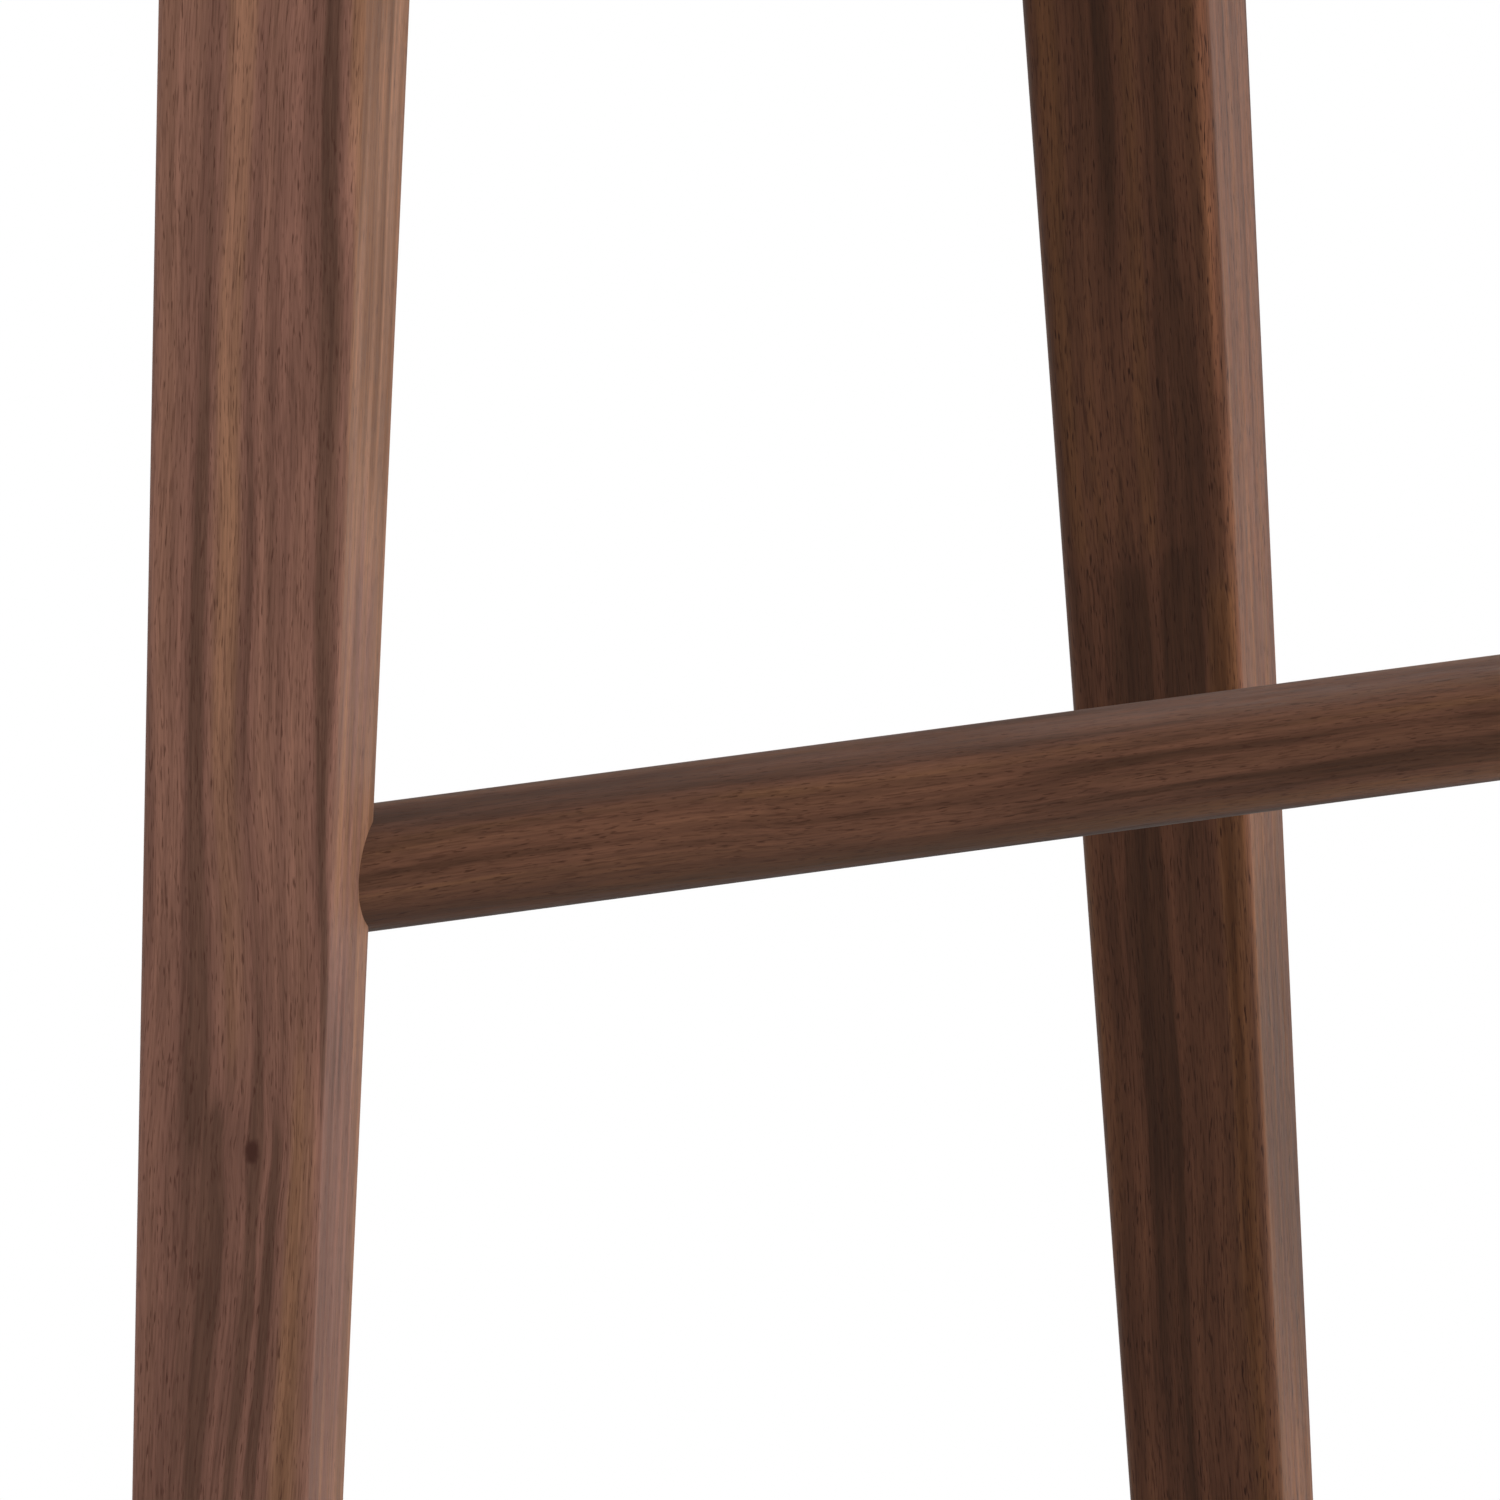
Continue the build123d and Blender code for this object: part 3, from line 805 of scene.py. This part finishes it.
for side_name in SIDES:
    hinge_pin = f"{side_name}_hinge_pin"
    dress(hinge_pin, HINGE_PIN_EDGE, brass, "brass", f"{side_name}_front_link")
    for frame_name in FRAMES:
        lug = f"{frame_name}_{side_name}_pivot_lug"
        dress(lug, LUG_EDGE, brass, "brass", f"{frame_name}_frame")
        link_body = f"{side_name}_{frame_name}_link"
        pivot_pin = f"{side_name}_{frame_name}_pivot_pin"
        dress(pivot_pin, PIVOT_EDGE, brass, "brass", link_body)
        leaf = f"{side_name}_{frame_name}_hinge_leaf"
        dress(leaf, LEAF_EDGE, brass, "brass", link_body)
print("brass lugs, pins and hinge leaves dressed")

# %% [markdown]
# ## Screws and rivets
#
# The same screw and the same rivet stand in many places, so each is drawn once and
# Geometry Nodes repeats it. A row of points, with named inputs for how many there
# are and how far apart, carries the copies.

# %% A turned screw and a turned rivet
TURNED_SIDES = 40
# Profiles in mm: radius and height, from the hidden end to the top of the head.
SCREW_PROFILE = ((1.45, -13.5), (1.45, -1.6), (2.8, -0.14), (2.86, -0.05), (2.8, 0.0), (0.2, 0.04))
SLOT_WIDTH, SLOT_LENGTH, SLOT_DEPTH = 0.8 * MM, 8 * MM, 0.8 * MM
RIVET_SHANK = ((0.3, -7.0), (3.2, -7.0), (3.4, -6.8), (3.4, -6.25), (1.8, -6.15), (1.8, 0.0), (3.85, 0.0))
RIVET_RADIUS = 4.0
RIVET_RIM = 0.12
RIVET_DOME = 1.4
DOME_STEPS = 9


def turned(name, profile_mm):
    """A solid of revolution about Z from a profile of radius and height."""
    angles = [2 * math.pi * i / TURNED_SIDES for i in range(TURNED_SIDES)]
    rings = []
    for radius_mm, height_mm in profile_mm:
        ring = [(radius_mm * math.cos(a), radius_mm * math.sin(a), height_mm) for a in angles]
        rings.append([Vector(point) * MM for point in ring])
    return loft(name, rings)


screw = turned("screw_shape", SCREW_PROFILE)
slot = bmesh.new()
bmesh.ops.create_cube(slot, size=1.0)
slot_mesh = bpy.data.meshes.new("slot_cutter")
slot.to_mesh(slot_mesh)
slot.free()
slot_mesh.transform(Matrix.Diagonal((SLOT_WIDTH, SLOT_LENGTH, 2 * SLOT_DEPTH, 1)))
cut_away(screw, new_object("slot_cutter", slot_mesh))

dome = [math.radians(90 * i / DOME_STEPS) for i in range(DOME_STEPS)]
dome = [(RIVET_RADIUS * math.cos(a), RIVET_RIM + (RIVET_DOME - RIVET_RIM) * math.sin(a)) for a in dome]
rivet = turned("rivet_shape", (*RIVET_SHANK, *dome))
for shape in (screw, rivet):
    smooth(shape)
    print(shape.name, len(shape.data.polygons), "faces")

# %% A row of pairs as a node tree


def row_tree(name, shape):
    """A tree that repeats a pair of one shape along X, with its own step between the two."""
    tree, given = node_tree(name, "Pitch", "Pair Step X", "Pair Step Y")
    tree.interface.new_socket("Count", in_out="INPUT", socket_type="NodeSocketInt")
    drawn = add(tree, "GeometryNodeObjectInfo", {"Object": shape}).outputs["Geometry"]
    pitch = add(tree, "ShaderNodeCombineXYZ", (given["Pitch"],))
    row = add(tree, "GeometryNodeMeshLine", {"Count": given["Count"], "Offset": pitch})
    step = add(tree, "ShaderNodeCombineXYZ", (given["Pair Step X"], given["Pair Step Y"]))
    pair = add(tree, "GeometryNodeMeshLine", {"Count": 2, "Offset": step})
    pairs = add(tree, "GeometryNodeInstanceOnPoints", {"Points": row, "Instance": pair})
    places = add(tree, "GeometryNodeRealizeInstances", (pairs,))
    finish_tree(tree, given, add(tree, "GeometryNodeInstanceOnPoints", {"Points": places, "Instance": drawn}))
    return tree


screw_tree = row_tree("hinge_screws", screw)
rivet_tree = row_tree("strap_rivets", rivet)
print(screw_tree.name, "and", rivet_tree.name, "repeat their shapes in pairs")

# %% Screws in the hinges
for side_name in SIDES:
    for frame_name in FRAMES:
        node = f"{side_name}_{frame_name}_hinge_screws"
        low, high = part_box(node)
        head = (high.x - low.x) / 2
        first = Vector((low.x + head, low.y + head, high.z))
        sizes = {"Count": 1, "Pair Step Y": high.y - low.y - 2 * head}
        screws = tree_piece(node, screw_tree, brass, first, **sizes)
        place_piece(screws, brass, "brass", f"{side_name}_{frame_name}_link", node)
        print(screws.name, len(screws.data.polygons), "faces")

# %% Rivets in the straps
STRAP_COUNT = 4
strap_low, strap_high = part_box("strap_1_front_half")
next_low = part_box("strap_2_front_half")[0]
STRAP_WIDTH = strap_high.x - strap_low.x
STRAP_PITCH = next_low.x - strap_low.x
STRAP_TOP = strap_high.z

for frame_name in FRAMES:
    node = f"{frame_name}_strap_rivets"
    low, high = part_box(node)
    first = Vector((low.x + RIVET_RADIUS * MM, (low.y + high.y) / 2, STRAP_TOP))
    sizes = {"Count": STRAP_COUNT, "Pitch": STRAP_PITCH, "Pair Step X": STRAP_WIDTH / 2}
    rivets = tree_piece(node, rivet_tree, brass, first, **sizes)
    place_piece(rivets, brass, "brass", f"{frame_name}_frame", node)
    print(rivets.name, len(rivets.data.polygons), "faces")
for shape in (screw, rivet):
    bpy.data.objects.remove(shape)

# %% [markdown]
# ## Bridle leather and linen thread
#
# The straps are waxed bridle leather: smooth, close-grained and a deep brown, with
# a faint pebble, a cloudy pull of wax and edges burnished almost black. The
# straps bend when the rack folds, so the pattern reads the place that each point
# has at rest, kept as an attribute, and doesn't slide as the leather moves. The
# thread is twisted from linen and waxed, so its plies show as a fine change of
# shade along it.

# %% Leather finish
LEATHER_BROWN = "#4c2e20"
LEATHER_WORN = "#5b3827"
LEATHER_EDGE = "#2a1912"
LEATHER_ROUGH = (0.36, 0.5)
LEATHER_GLOSS = 0.22
LEATHER_BUMP = {"Strength": 0.45, "Distance": 0.12 * MM}
CLOUD_SIZE = (16, 22, 16)
CLOUD_SPAN = (0.3, 0.75)
WRINKLE_SIZE = (2.6, 2.6, 2.6)
WRINKLE_RELIEF = 0.6             # beside a pebble, which counts as one
PEBBLE_SIZE = 0.8
PEBBLE_RIM = 0.25                # how far a pebble slopes down to its edge, in its size

leather, leather_tree = new_finish("bridle_leather")
rest = add(leather_tree, "ShaderNodeAttribute", attribute_name="rest_place").outputs["Vector"]
burnish = add(leather_tree, "ShaderNodeAttribute", attribute_name="burnish").outputs["Fac"]
cloud = layer(leather_tree, rest, CLOUD_SIZE, span=CLOUD_SPAN, detail=4.0)
hide = (cloud, linear(LEATHER_BROWN), linear(LEATHER_WORN))
hide = add(leather_tree, "ShaderNodeMix", hide, data_type="RGBA")
edged = add(leather_tree, "ShaderNodeMix", (burnish, hide, linear(LEATHER_EDGE)), data_type="RGBA")
pebble = {"Vector": rest, "Scale": 1 / (PEBBLE_SIZE * MM)}
pebble = add(leather_tree, "ShaderNodeTexVoronoi", pebble, feature="DISTANCE_TO_EDGE")
pebble = add(leather_tree, "ShaderNodeMapRange", (pebble, 0.0, PEBBLE_RIM, 0.0, 1.0), **EASED)
wrinkle = layer(leather_tree, rest, WRINKLE_SIZE, 0.0, WRINKLE_RELIEF, detail=3.0)
relief = add(leather_tree, "ShaderNodeMath", (wrinkle, pebble))
grain = {**LEATHER_BUMP, "Height": relief}
leather_shader = {
    "Base Color": edged,
    "Roughness": add(leather_tree, "ShaderNodeMapRange", (cloud, 0.0, 1.0, *LEATHER_ROUGH)),
    "Normal": add(leather_tree, "ShaderNodeBump", grain),
    "Specular IOR Level": LEATHER_GLOSS,
}
leather_shader = add(leather_tree, "ShaderNodeBsdfPrincipled", leather_shader)
add(leather_tree, "ShaderNodeOutputMaterial", (leather_shader,))
print(leather.name, "has", len(leather_tree.nodes), "nodes")

# %% Thread finish
THREAD_CREAM = "#b49a74"
THREAD_SHADE = "#957f5e"
THREAD_ROUGH = 0.6
PLY_SIZE = (0.35, 0.6, 0.35)

thread, thread_tree = new_finish("waxed_linen_thread")
thread_place = add(thread_tree, "ShaderNodeTexCoord").outputs["Object"]
plies = layer(thread_tree, thread_place, PLY_SIZE, detail=1.0)
plies = (plies, linear(THREAD_SHADE), linear(THREAD_CREAM))
plies = add(thread_tree, "ShaderNodeMix", plies, data_type="RGBA")
thread_shader = {"Base Color": plies, "Roughness": THREAD_ROUGH}
thread_shader = add(thread_tree, "ShaderNodeBsdfPrincipled", thread_shader)
add(thread_tree, "ShaderNodeOutputMaterial", (thread_shader,))
print(thread.name, "has", len(thread_tree.nodes), "nodes")

# %% [markdown]
# ## Straps
#
# A strap goes round a rail, back under itself to the rivets, and across to the
# other rail. Its centre line is straight runs and one large arc, and its section
# is a flat band with rounded edges and a stitching groove near each side. The
# strap folds at the rivets and in the middle when the rack closes, so it is made
# as two halves, and each half bends smoothly where it leaves its lap.

# %% Strap path
STRAP_THICK = 3.0 * MM
STRAP_LAP = 25.0 * MM
LAP_BEND = 6.0 * MM
LAYER_GAP = 0.1 * MM
LAP_POINTS, BEND_POINTS, WRAP_POINTS, TOP_POINTS = 8, 6, 64, 110

rail_low, rail_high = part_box("front_top_rail")
RAIL = (rail_low + rail_high) / 2
STRAP_RADIUS = STRAP_TOP - STRAP_THICK / 2 - RAIL.z
HALF_SPAN = abs(RAIL.y)
STRAP_BEND = HALF_SPAN - abs(strap_low.y)


def strap_path():
    """Points and outward directions of a half strap, from its lap to the middle.

    Each is along (towards the middle) and up, measured from the rail's axis.
    """
    lap_start = STRAP_BEND - STRAP_LAP
    lap_height = STRAP_RADIUS - STRAP_THICK - LAYER_GAP
    reach = math.hypot(lap_start, lap_height)
    touch = math.atan2(lap_height, lap_start) - math.acos(STRAP_RADIUS / reach)
    touch_point = STRAP_RADIUS * Vector((math.cos(touch), math.sin(touch)))
    rise = Vector((lap_start, lap_height)) - touch_point
    rise_angle = math.atan2(rise.y, rise.x)
    lap_end = lap_start + LAP_BEND * math.tan(rise_angle / 2)
    path = []
    for i in range(LAP_POINTS + 1):
        along = STRAP_BEND + (lap_end - STRAP_BEND) * i / LAP_POINTS
        path.append((Vector((along, lap_height)), Vector((0, -1))))
    centre = Vector((lap_end, lap_height - LAP_BEND))
    for i in range(1, BEND_POINTS + 1):
        angle = math.radians(90) + rise_angle * i / BEND_POINTS
        out = Vector((math.cos(angle), math.sin(angle)))
        path.append((centre + out * LAP_BEND, -out))
    wrap_end = math.radians(90 - 360)
    for i in range(WRAP_POINTS + 1):
        angle = touch + (wrap_end - touch) * i / WRAP_POINTS
        out = Vector((math.cos(angle), math.sin(angle)))
        path.append((out * STRAP_RADIUS, out))
    for i in range(1, TOP_POINTS + 1):
        path.append((Vector((HALF_SPAN * i / TOP_POINTS, STRAP_RADIUS)), Vector((0, 1))))
    return path


PATH = strap_path()

# %% Strap section
EDGE_ROUND = 1.1 * MM
EDGE_STEPS = 6
GROOVE_INSET = 3.2 * MM
GROOVE_DEPTH = 0.4 * MM
GROOVE_HALF = 0.7 * MM
TOP_SHARES = (0.6, 0.2, -0.2, -0.6)
UNDER_SHARES = (-0.6, 0.0, 0.6)
GROOVE_BURNISH = (0.35, 0.35, 0.7, 0.35, 0.35)


def strap_section():
    """Outline of the strap's section, as across and outward, with its burnish."""
    half, thick = STRAP_WIDTH / 2, STRAP_THICK / 2
    corners = [(half - EDGE_ROUND, thick - EDGE_ROUND), (EDGE_ROUND - half, thick - EDGE_ROUND)]
    corners += [(EDGE_ROUND - half, EDGE_ROUND - thick), (half - EDGE_ROUND, EDGE_ROUND - thick)]
    outline = []
    for quarter, (corner_x, corner_n) in enumerate(corners):
        for step in range(EDGE_STEPS + 1):
            angle = math.radians(90 * (quarter + step / EDGE_STEPS))
            x = corner_x + EDGE_ROUND * math.cos(angle)
            outline.append((x, corner_n + EDGE_ROUND * math.sin(angle), 1.0))
        if quarter == 0:
            outline += groove(half - GROOVE_INSET, thick)
            outline += [(half * share, thick, 0.0) for share in TOP_SHARES]
            outline += groove(GROOVE_INSET - half, thick)
        if quarter == 2:
            outline += [(half * share, -thick, 0.0) for share in UNDER_SHARES]
    return outline


def groove(middle, thick):
    """A rounded stitching groove in the strap's upper face."""
    steps = range(-2, 3)
    dips = [GROOVE_DEPTH * math.cos(math.radians(45 * step)) ** 2 for step in steps]
    places = [middle - step * GROOVE_HALF / 2 for step in steps]
    return [(x, thick - dip, burnt) for x, dip, burnt in zip(places, dips, GROOVE_BURNISH)]


SECTION = strap_section()
print("the strap's section has", len(SECTION), "points")

# %% [markdown]
# ## Stitches
#
# Each groove holds a row of saddle stitches in waxed thread. A Geometry Nodes tree
# takes the seam as a curve, spaces points along it at the stitch length and lays a
# small rounded stitch along the seam at each one.

# %% A seam as a node tree
STITCH_SPACING = 5.0 * MM
STITCH_LENGTH = 4.1 * MM
THREAD_SIZE = 0.85 * MM
BEAD = {"Segments": 8, "Rings": 6, "Radius": 0.5}

seam_tree, seam = node_tree("stitched_seam", "Spacing", "Stitch Length", "Thread Size")
spaced = {"Curve": seam["Geometry"], "Length": seam["Spacing"]}
spaced = add(seam_tree, "GeometryNodeResampleCurve", spaced, mode="LENGTH")
tangent = add(seam_tree, "GeometryNodeInputTangent")
lie = add(seam_tree, "FunctionNodeAlignRotationToVector", {"Vector": tangent}, axis="X")
bead = add(seam_tree, "GeometryNodeMeshUVSphere", BEAD)
bead_size = (seam["Stitch Length"], seam["Thread Size"], seam["Thread Size"])
bead_size = add(seam_tree, "ShaderNodeCombineXYZ", bead_size)
stitches = {"Points": spaced, "Instance": bead, "Rotation": lie, "Scale": bead_size}
finish_tree(seam_tree, seam, add(seam_tree, "GeometryNodeInstanceOnPoints", stitches))
print("stitched_seam has", len(seam_tree.nodes), "nodes")

# %% Cutting and sewing a half strap
SEAM_RISE = STRAP_THICK / 2 - GROOVE_DEPTH + THREAD_SIZE / 4
STRAP_SHARP_FROM = 50


def in_frame(strap_x, front_back, along_up, across=0.0):
    """A path point in the shared frame."""
    along, up = along_up
    return Vector((strap_x + across, front_back * (HALF_SPAN - along), RAIL.z + up))


def strap_band(name, strap_x, front_back):
    """The leather of one half strap, with its place at rest and its burnish."""
    rings = []
    for point, out in PATH:
        rings.append([in_frame(strap_x, front_back, point + out * n, x) for x, n, _ in SECTION])
    band = loft(name, rings)
    verts = band.data.vertices
    place = band.data.attributes.new("rest_place", "FLOAT_VECTOR", "POINT")
    place.data.foreach_set("vector", [part for vert in verts for part in vert.co])
    worn = band.data.attributes.new("burnish", "FLOAT", "POINT")
    worn.data.foreach_set("value", [SECTION[i % len(SECTION)][2] for i in range(len(verts))])
    smooth(band, STRAP_SHARP_FROM)
    return band


def strap_seams(name, strap_x, front_back):
    """Both rows of stitches of one half strap."""
    last = HALF_SPAN - STITCH_SPACING / 2
    points = [(point, out) for point, out in PATH if out.y != 1 or point.x < last]
    points.append((Vector((last, STRAP_RADIUS)), Vector((0, 1))))
    line = bpy.data.curves.new(name, "CURVE")
    line.dimensions = "3D"
    for side in (1, -1):
        across = side * (STRAP_WIDTH / 2 - GROOVE_INSET)
        spline = line.splines.new("POLY")
        spline.points.add(len(points) - 1)
        for place, (point, out) in zip(spline.points, points):
            place.co = (*in_frame(strap_x, front_back, point + out * SEAM_RISE, across), 1)
    sizes = {"Spacing": STITCH_SPACING, "Stitch Length": STITCH_LENGTH, "Thread Size": THREAD_SIZE}
    seams = run_tree(new_object(name, line), seam_tree, thread, **sizes)
    seams.data.shade_smooth()
    return seams


print(f"the thread stands {(SEAM_RISE + THREAD_SIZE / 2 - STRAP_THICK / 2) / MM:.2f} mm above the leather")

for number in range(1, STRAP_COUNT + 1):
    for frame_name, front_back in FRAMES.items():
        low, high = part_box(f"strap_{number}_{frame_name}_half")
        strap_x = (low.x + high.x) / 2
        band = strap_band(f"strap_{number}_{frame_name}", strap_x, front_back)
        nodes = (f"strap_{number}_{frame_name}_loop", f"strap_{number}_{frame_name}_half")
        place_piece(band, leather, "leather", None, *nodes)
        seams = strap_seams(f"strap_{number}_{frame_name}_stitches", strap_x, front_back)
        place_piece(seams, thread, "leather", None)
        for piece in (band, seams):
            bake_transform(piece)
    print(f"strap {number}: {len(band.data.polygons)} faces and {len(seams.data.polygons)} in its stitches")

# %% [markdown]
# ## Rubber glides
#
# Each foot stands on a moulded rubber glide: matt, nearly black and very finely
# textured by its mould.

# %% Rubber finish and glides
RUBBER_BLACK = "#2b2927"
RUBBER_GREY = "#3a3835"
RUBBER_ROUGH = 0.72
RUBBER_BUMP = {"Strength": 0.2, "Distance": 0.05 * MM}
DUST_SIZE = (4, 4, 4)
MOULD_SIZE = (0.5, 0.5, 0.5)
GLIDE_EDGE = 0.3

rubber, rubber_tree = new_finish("moulded_rubber")
rubber_place = add(rubber_tree, "ShaderNodeTexCoord").outputs["Object"]
dust = layer(rubber_tree, rubber_place, DUST_SIZE, detail=3.0)
dust = (dust, linear(RUBBER_BLACK), linear(RUBBER_GREY))
mould = layer(rubber_tree, rubber_place, MOULD_SIZE)
mould = {**RUBBER_BUMP, "Height": mould}
rubber_shader = {
    "Base Color": add(rubber_tree, "ShaderNodeMix", dust, data_type="RGBA"),
    "Normal": add(rubber_tree, "ShaderNodeBump", mould),
    "Roughness": RUBBER_ROUGH,
}
rubber_shader = add(rubber_tree, "ShaderNodeBsdfPrincipled", rubber_shader)
add(rubber_tree, "ShaderNodeOutputMaterial", (rubber_shader,))

for side_name in SIDES:
    for frame_name in FRAMES:
        node = f"{frame_name}_{side_name}_glide"
        glide = dress(node, GLIDE_EDGE, rubber, "rubber", f"{frame_name}_frame")
        print(glide.name, len(glide.data.polygons), "faces")

# %% [markdown]
# ## Floor and world
#
# The rack stands in a plain white studio. The floor keeps its soft shadow close to
# the feet and fades to white further out, and the world is white to the eye and in
# reflections but gives only a moderate light, so that a colour renders about as it
# is written.

# %% Floor and world
FLOOR_HALF = 8.0
FLOOR_GREY = "#e6e4e1"
FLOOR_ROUGH = 0.9
SHADOW_REACH = (0.42, 0.32)      # half axes of the floor that is plainly lit
SHADOW_FADE = (0.95, 1.5)        # where it starts and ends to fade, in those half axes
WORLD_LIGHT = 0.42
WHITE = (1, 1, 1, 1)


def seen_white(tree):
    """One for the rays that show a background: camera, glossy and transmission rays."""
    path = add(tree, "ShaderNodeLightPath").outputs
    seen = (path["Is Camera Ray"], path["Is Glossy Ray"])
    seen = add(tree, "ShaderNodeMath", seen, operation="MAXIMUM")
    return add(tree, "ShaderNodeMath", (seen, path["Is Transmission Ray"]), operation="MAXIMUM")


corners = [(x * FLOOR_HALF, y * FLOOR_HALF, 0) for x, y in ((-1, -1), (1, -1), (1, 1), (-1, 1))]
floor_mesh = bpy.data.meshes.new("floor")
floor_mesh.from_pydata(corners, [], [(0, 1, 2, 3)])
floor = new_object("floor", floor_mesh)
paper, paper_tree = new_finish("studio_paper")
paper_place = add(paper_tree, "ShaderNodeTexCoord").outputs["Object"]
reach = (1 / SHADOW_REACH[0], 1 / SHADOW_REACH[1], 0)
spread = add(paper_tree, "ShaderNodeVectorMath", (paper_place, reach), operation="MULTIPLY")
spread = add(paper_tree, "ShaderNodeVectorMath", (spread,), operation="LENGTH")
far_off = add(paper_tree, "ShaderNodeMapRange", (spread, *SHADOW_FADE, 0.0, 1.0), **EASED)
white_share = (seen_white(paper_tree), far_off)
white_share = add(paper_tree, "ShaderNodeMath", white_share, operation="MULTIPLY")
matt = {"Base Color": linear(FLOOR_GREY), "Roughness": FLOOR_ROUGH, "Specular IOR Level": 0.0}
matt = add(paper_tree, "ShaderNodeBsdfPrincipled", matt)
white = add(paper_tree, "ShaderNodeEmission", {"Color": WHITE, "Strength": 1.0})
paper_mix = add(paper_tree, "ShaderNodeMixShader", (white_share, matt, white))
add(paper_tree, "ShaderNodeOutputMaterial", (paper_mix,))
floor.data.materials.append(paper)
floor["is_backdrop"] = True

world = bpy.data.worlds.new("studio")
bpy.context.scene.world = world
world.use_nodes = True
world_tree = world.node_tree
world_tree.nodes.clear()
dim = add(world_tree, "ShaderNodeBackground", {"Color": WHITE, "Strength": WORLD_LIGHT})
bright = add(world_tree, "ShaderNodeBackground", {"Color": WHITE, "Strength": 1.0})
sky = add(world_tree, "ShaderNodeMixShader", (seen_white(world_tree), dim, bright))
add(world_tree, "ShaderNodeOutputWorld", (sky,))
print(f"floor {2 * FLOOR_HALF:.0f} m wide, world light {WORLD_LIGHT}")

# %% [markdown]
# ## Light and camera
#
# A large softbox on the right is the key, a weaker one on the left fills the faces
# that turn away, and one above and behind lifts the tops. A small card on the right
# shows only in reflections and gives the round bars the grey sheen on their tops.
# The camera stands far away with a very long lens and sees parts of two legs and
# the front stretcher.

# %% Softboxes
RACK_MIDDLE = Vector((0, 0, 0.28))
SOFTBOXES = {
    # name: azimuth, elevation, distance, width, watts, whether it only shows in gloss
    "key_right": (38, 28, 2.2, 1.3, 38, False),
    "fill_left": (-70, 45, 1.5, 1.0, 9, False),
    "top_back": (150, 60, 2.2, 1.2, 13, False),
    "gloss_card": (96, 34, 1.02, 0.5, 5.0, True),
}

for name, (azimuth, elevation, distance, width, watts, gloss_only) in SOFTBOXES.items():
    around, up = math.radians(azimuth), math.radians(elevation)
    away = Vector((math.sin(around) * math.cos(up), -math.cos(around) * math.cos(up), math.sin(up)))
    lamp = bpy.data.lights.new(name, "AREA")
    lamp.shape = "DISK"
    lamp.size = width
    lamp.energy = watts
    softbox = bpy.data.objects.new(name, lamp)
    softbox.location = RACK_MIDDLE + away * distance
    softbox.rotation_euler = away.to_track_quat("Z", "Y").to_euler()
    softbox.visible_camera = False
    softbox.visible_glossy = gloss_only
    softbox.visible_diffuse = not gloss_only
    bpy.context.scene.collection.objects.link(softbox)
    print(name, f"{watts} W at {distance} m")

# %% Camera
CAMERA_TARGET = Vector((-0.21666, -0.24714, 0.26188))
CAMERA_DISTANCE = 9.616
CAMERA_AROUND = math.radians(42.06)
CAMERA_DOWN = math.radians(7.51)
CAMERA_ROLL = math.radians(-0.785)
CAMERA_LENS = 1339.0
CAMERA_SENSOR = 36.0
CAMERA_SIGHT = 60.0

level = Vector((math.cos(CAMERA_AROUND), -math.sin(CAMERA_AROUND), 0))
ahead = Vector((math.sin(CAMERA_AROUND), math.cos(CAMERA_AROUND), 0))
look = ahead * math.cos(CAMERA_DOWN) - Vector((0, 0, math.sin(CAMERA_DOWN)))
upright = level.cross(look)
right = level * math.cos(CAMERA_ROLL) + upright * math.sin(CAMERA_ROLL)
up = upright * math.cos(CAMERA_ROLL) - level * math.sin(CAMERA_ROLL)
camera_data = bpy.data.cameras.new("camera")
camera_data.sensor_width = CAMERA_SENSOR
camera_data.lens = CAMERA_LENS
camera_data.clip_end = CAMERA_SIGHT
camera = bpy.data.objects.new("camera", camera_data)
stand = CAMERA_TARGET - look * CAMERA_DISTANCE
camera.matrix_world = Matrix.Translation(stand) @ Matrix((right, up, -look)).transposed().to_4x4()
bpy.context.scene.collection.objects.link(camera)
bpy.context.scene.camera = camera
bpy.context.scene.view_settings.view_transform = "Standard"
print("camera stands at", [round(value, 2) for value in stand])

# %% [markdown]
# ## The size of the dressed rack
#
# The dressed rack has to stay in the box of its construction, so both boxes are
# gathered, and the size of the dressed one is printed.

# %% Sizes
bpy.context.view_layer.update()
low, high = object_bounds()
sizes = {"cad": [list(cad_low), list(cad_high)], "visual": [list(low), list(high)]}
print("visual box in mm:", [round((b - a) / MM, 1) for a, b in zip(low, high)])
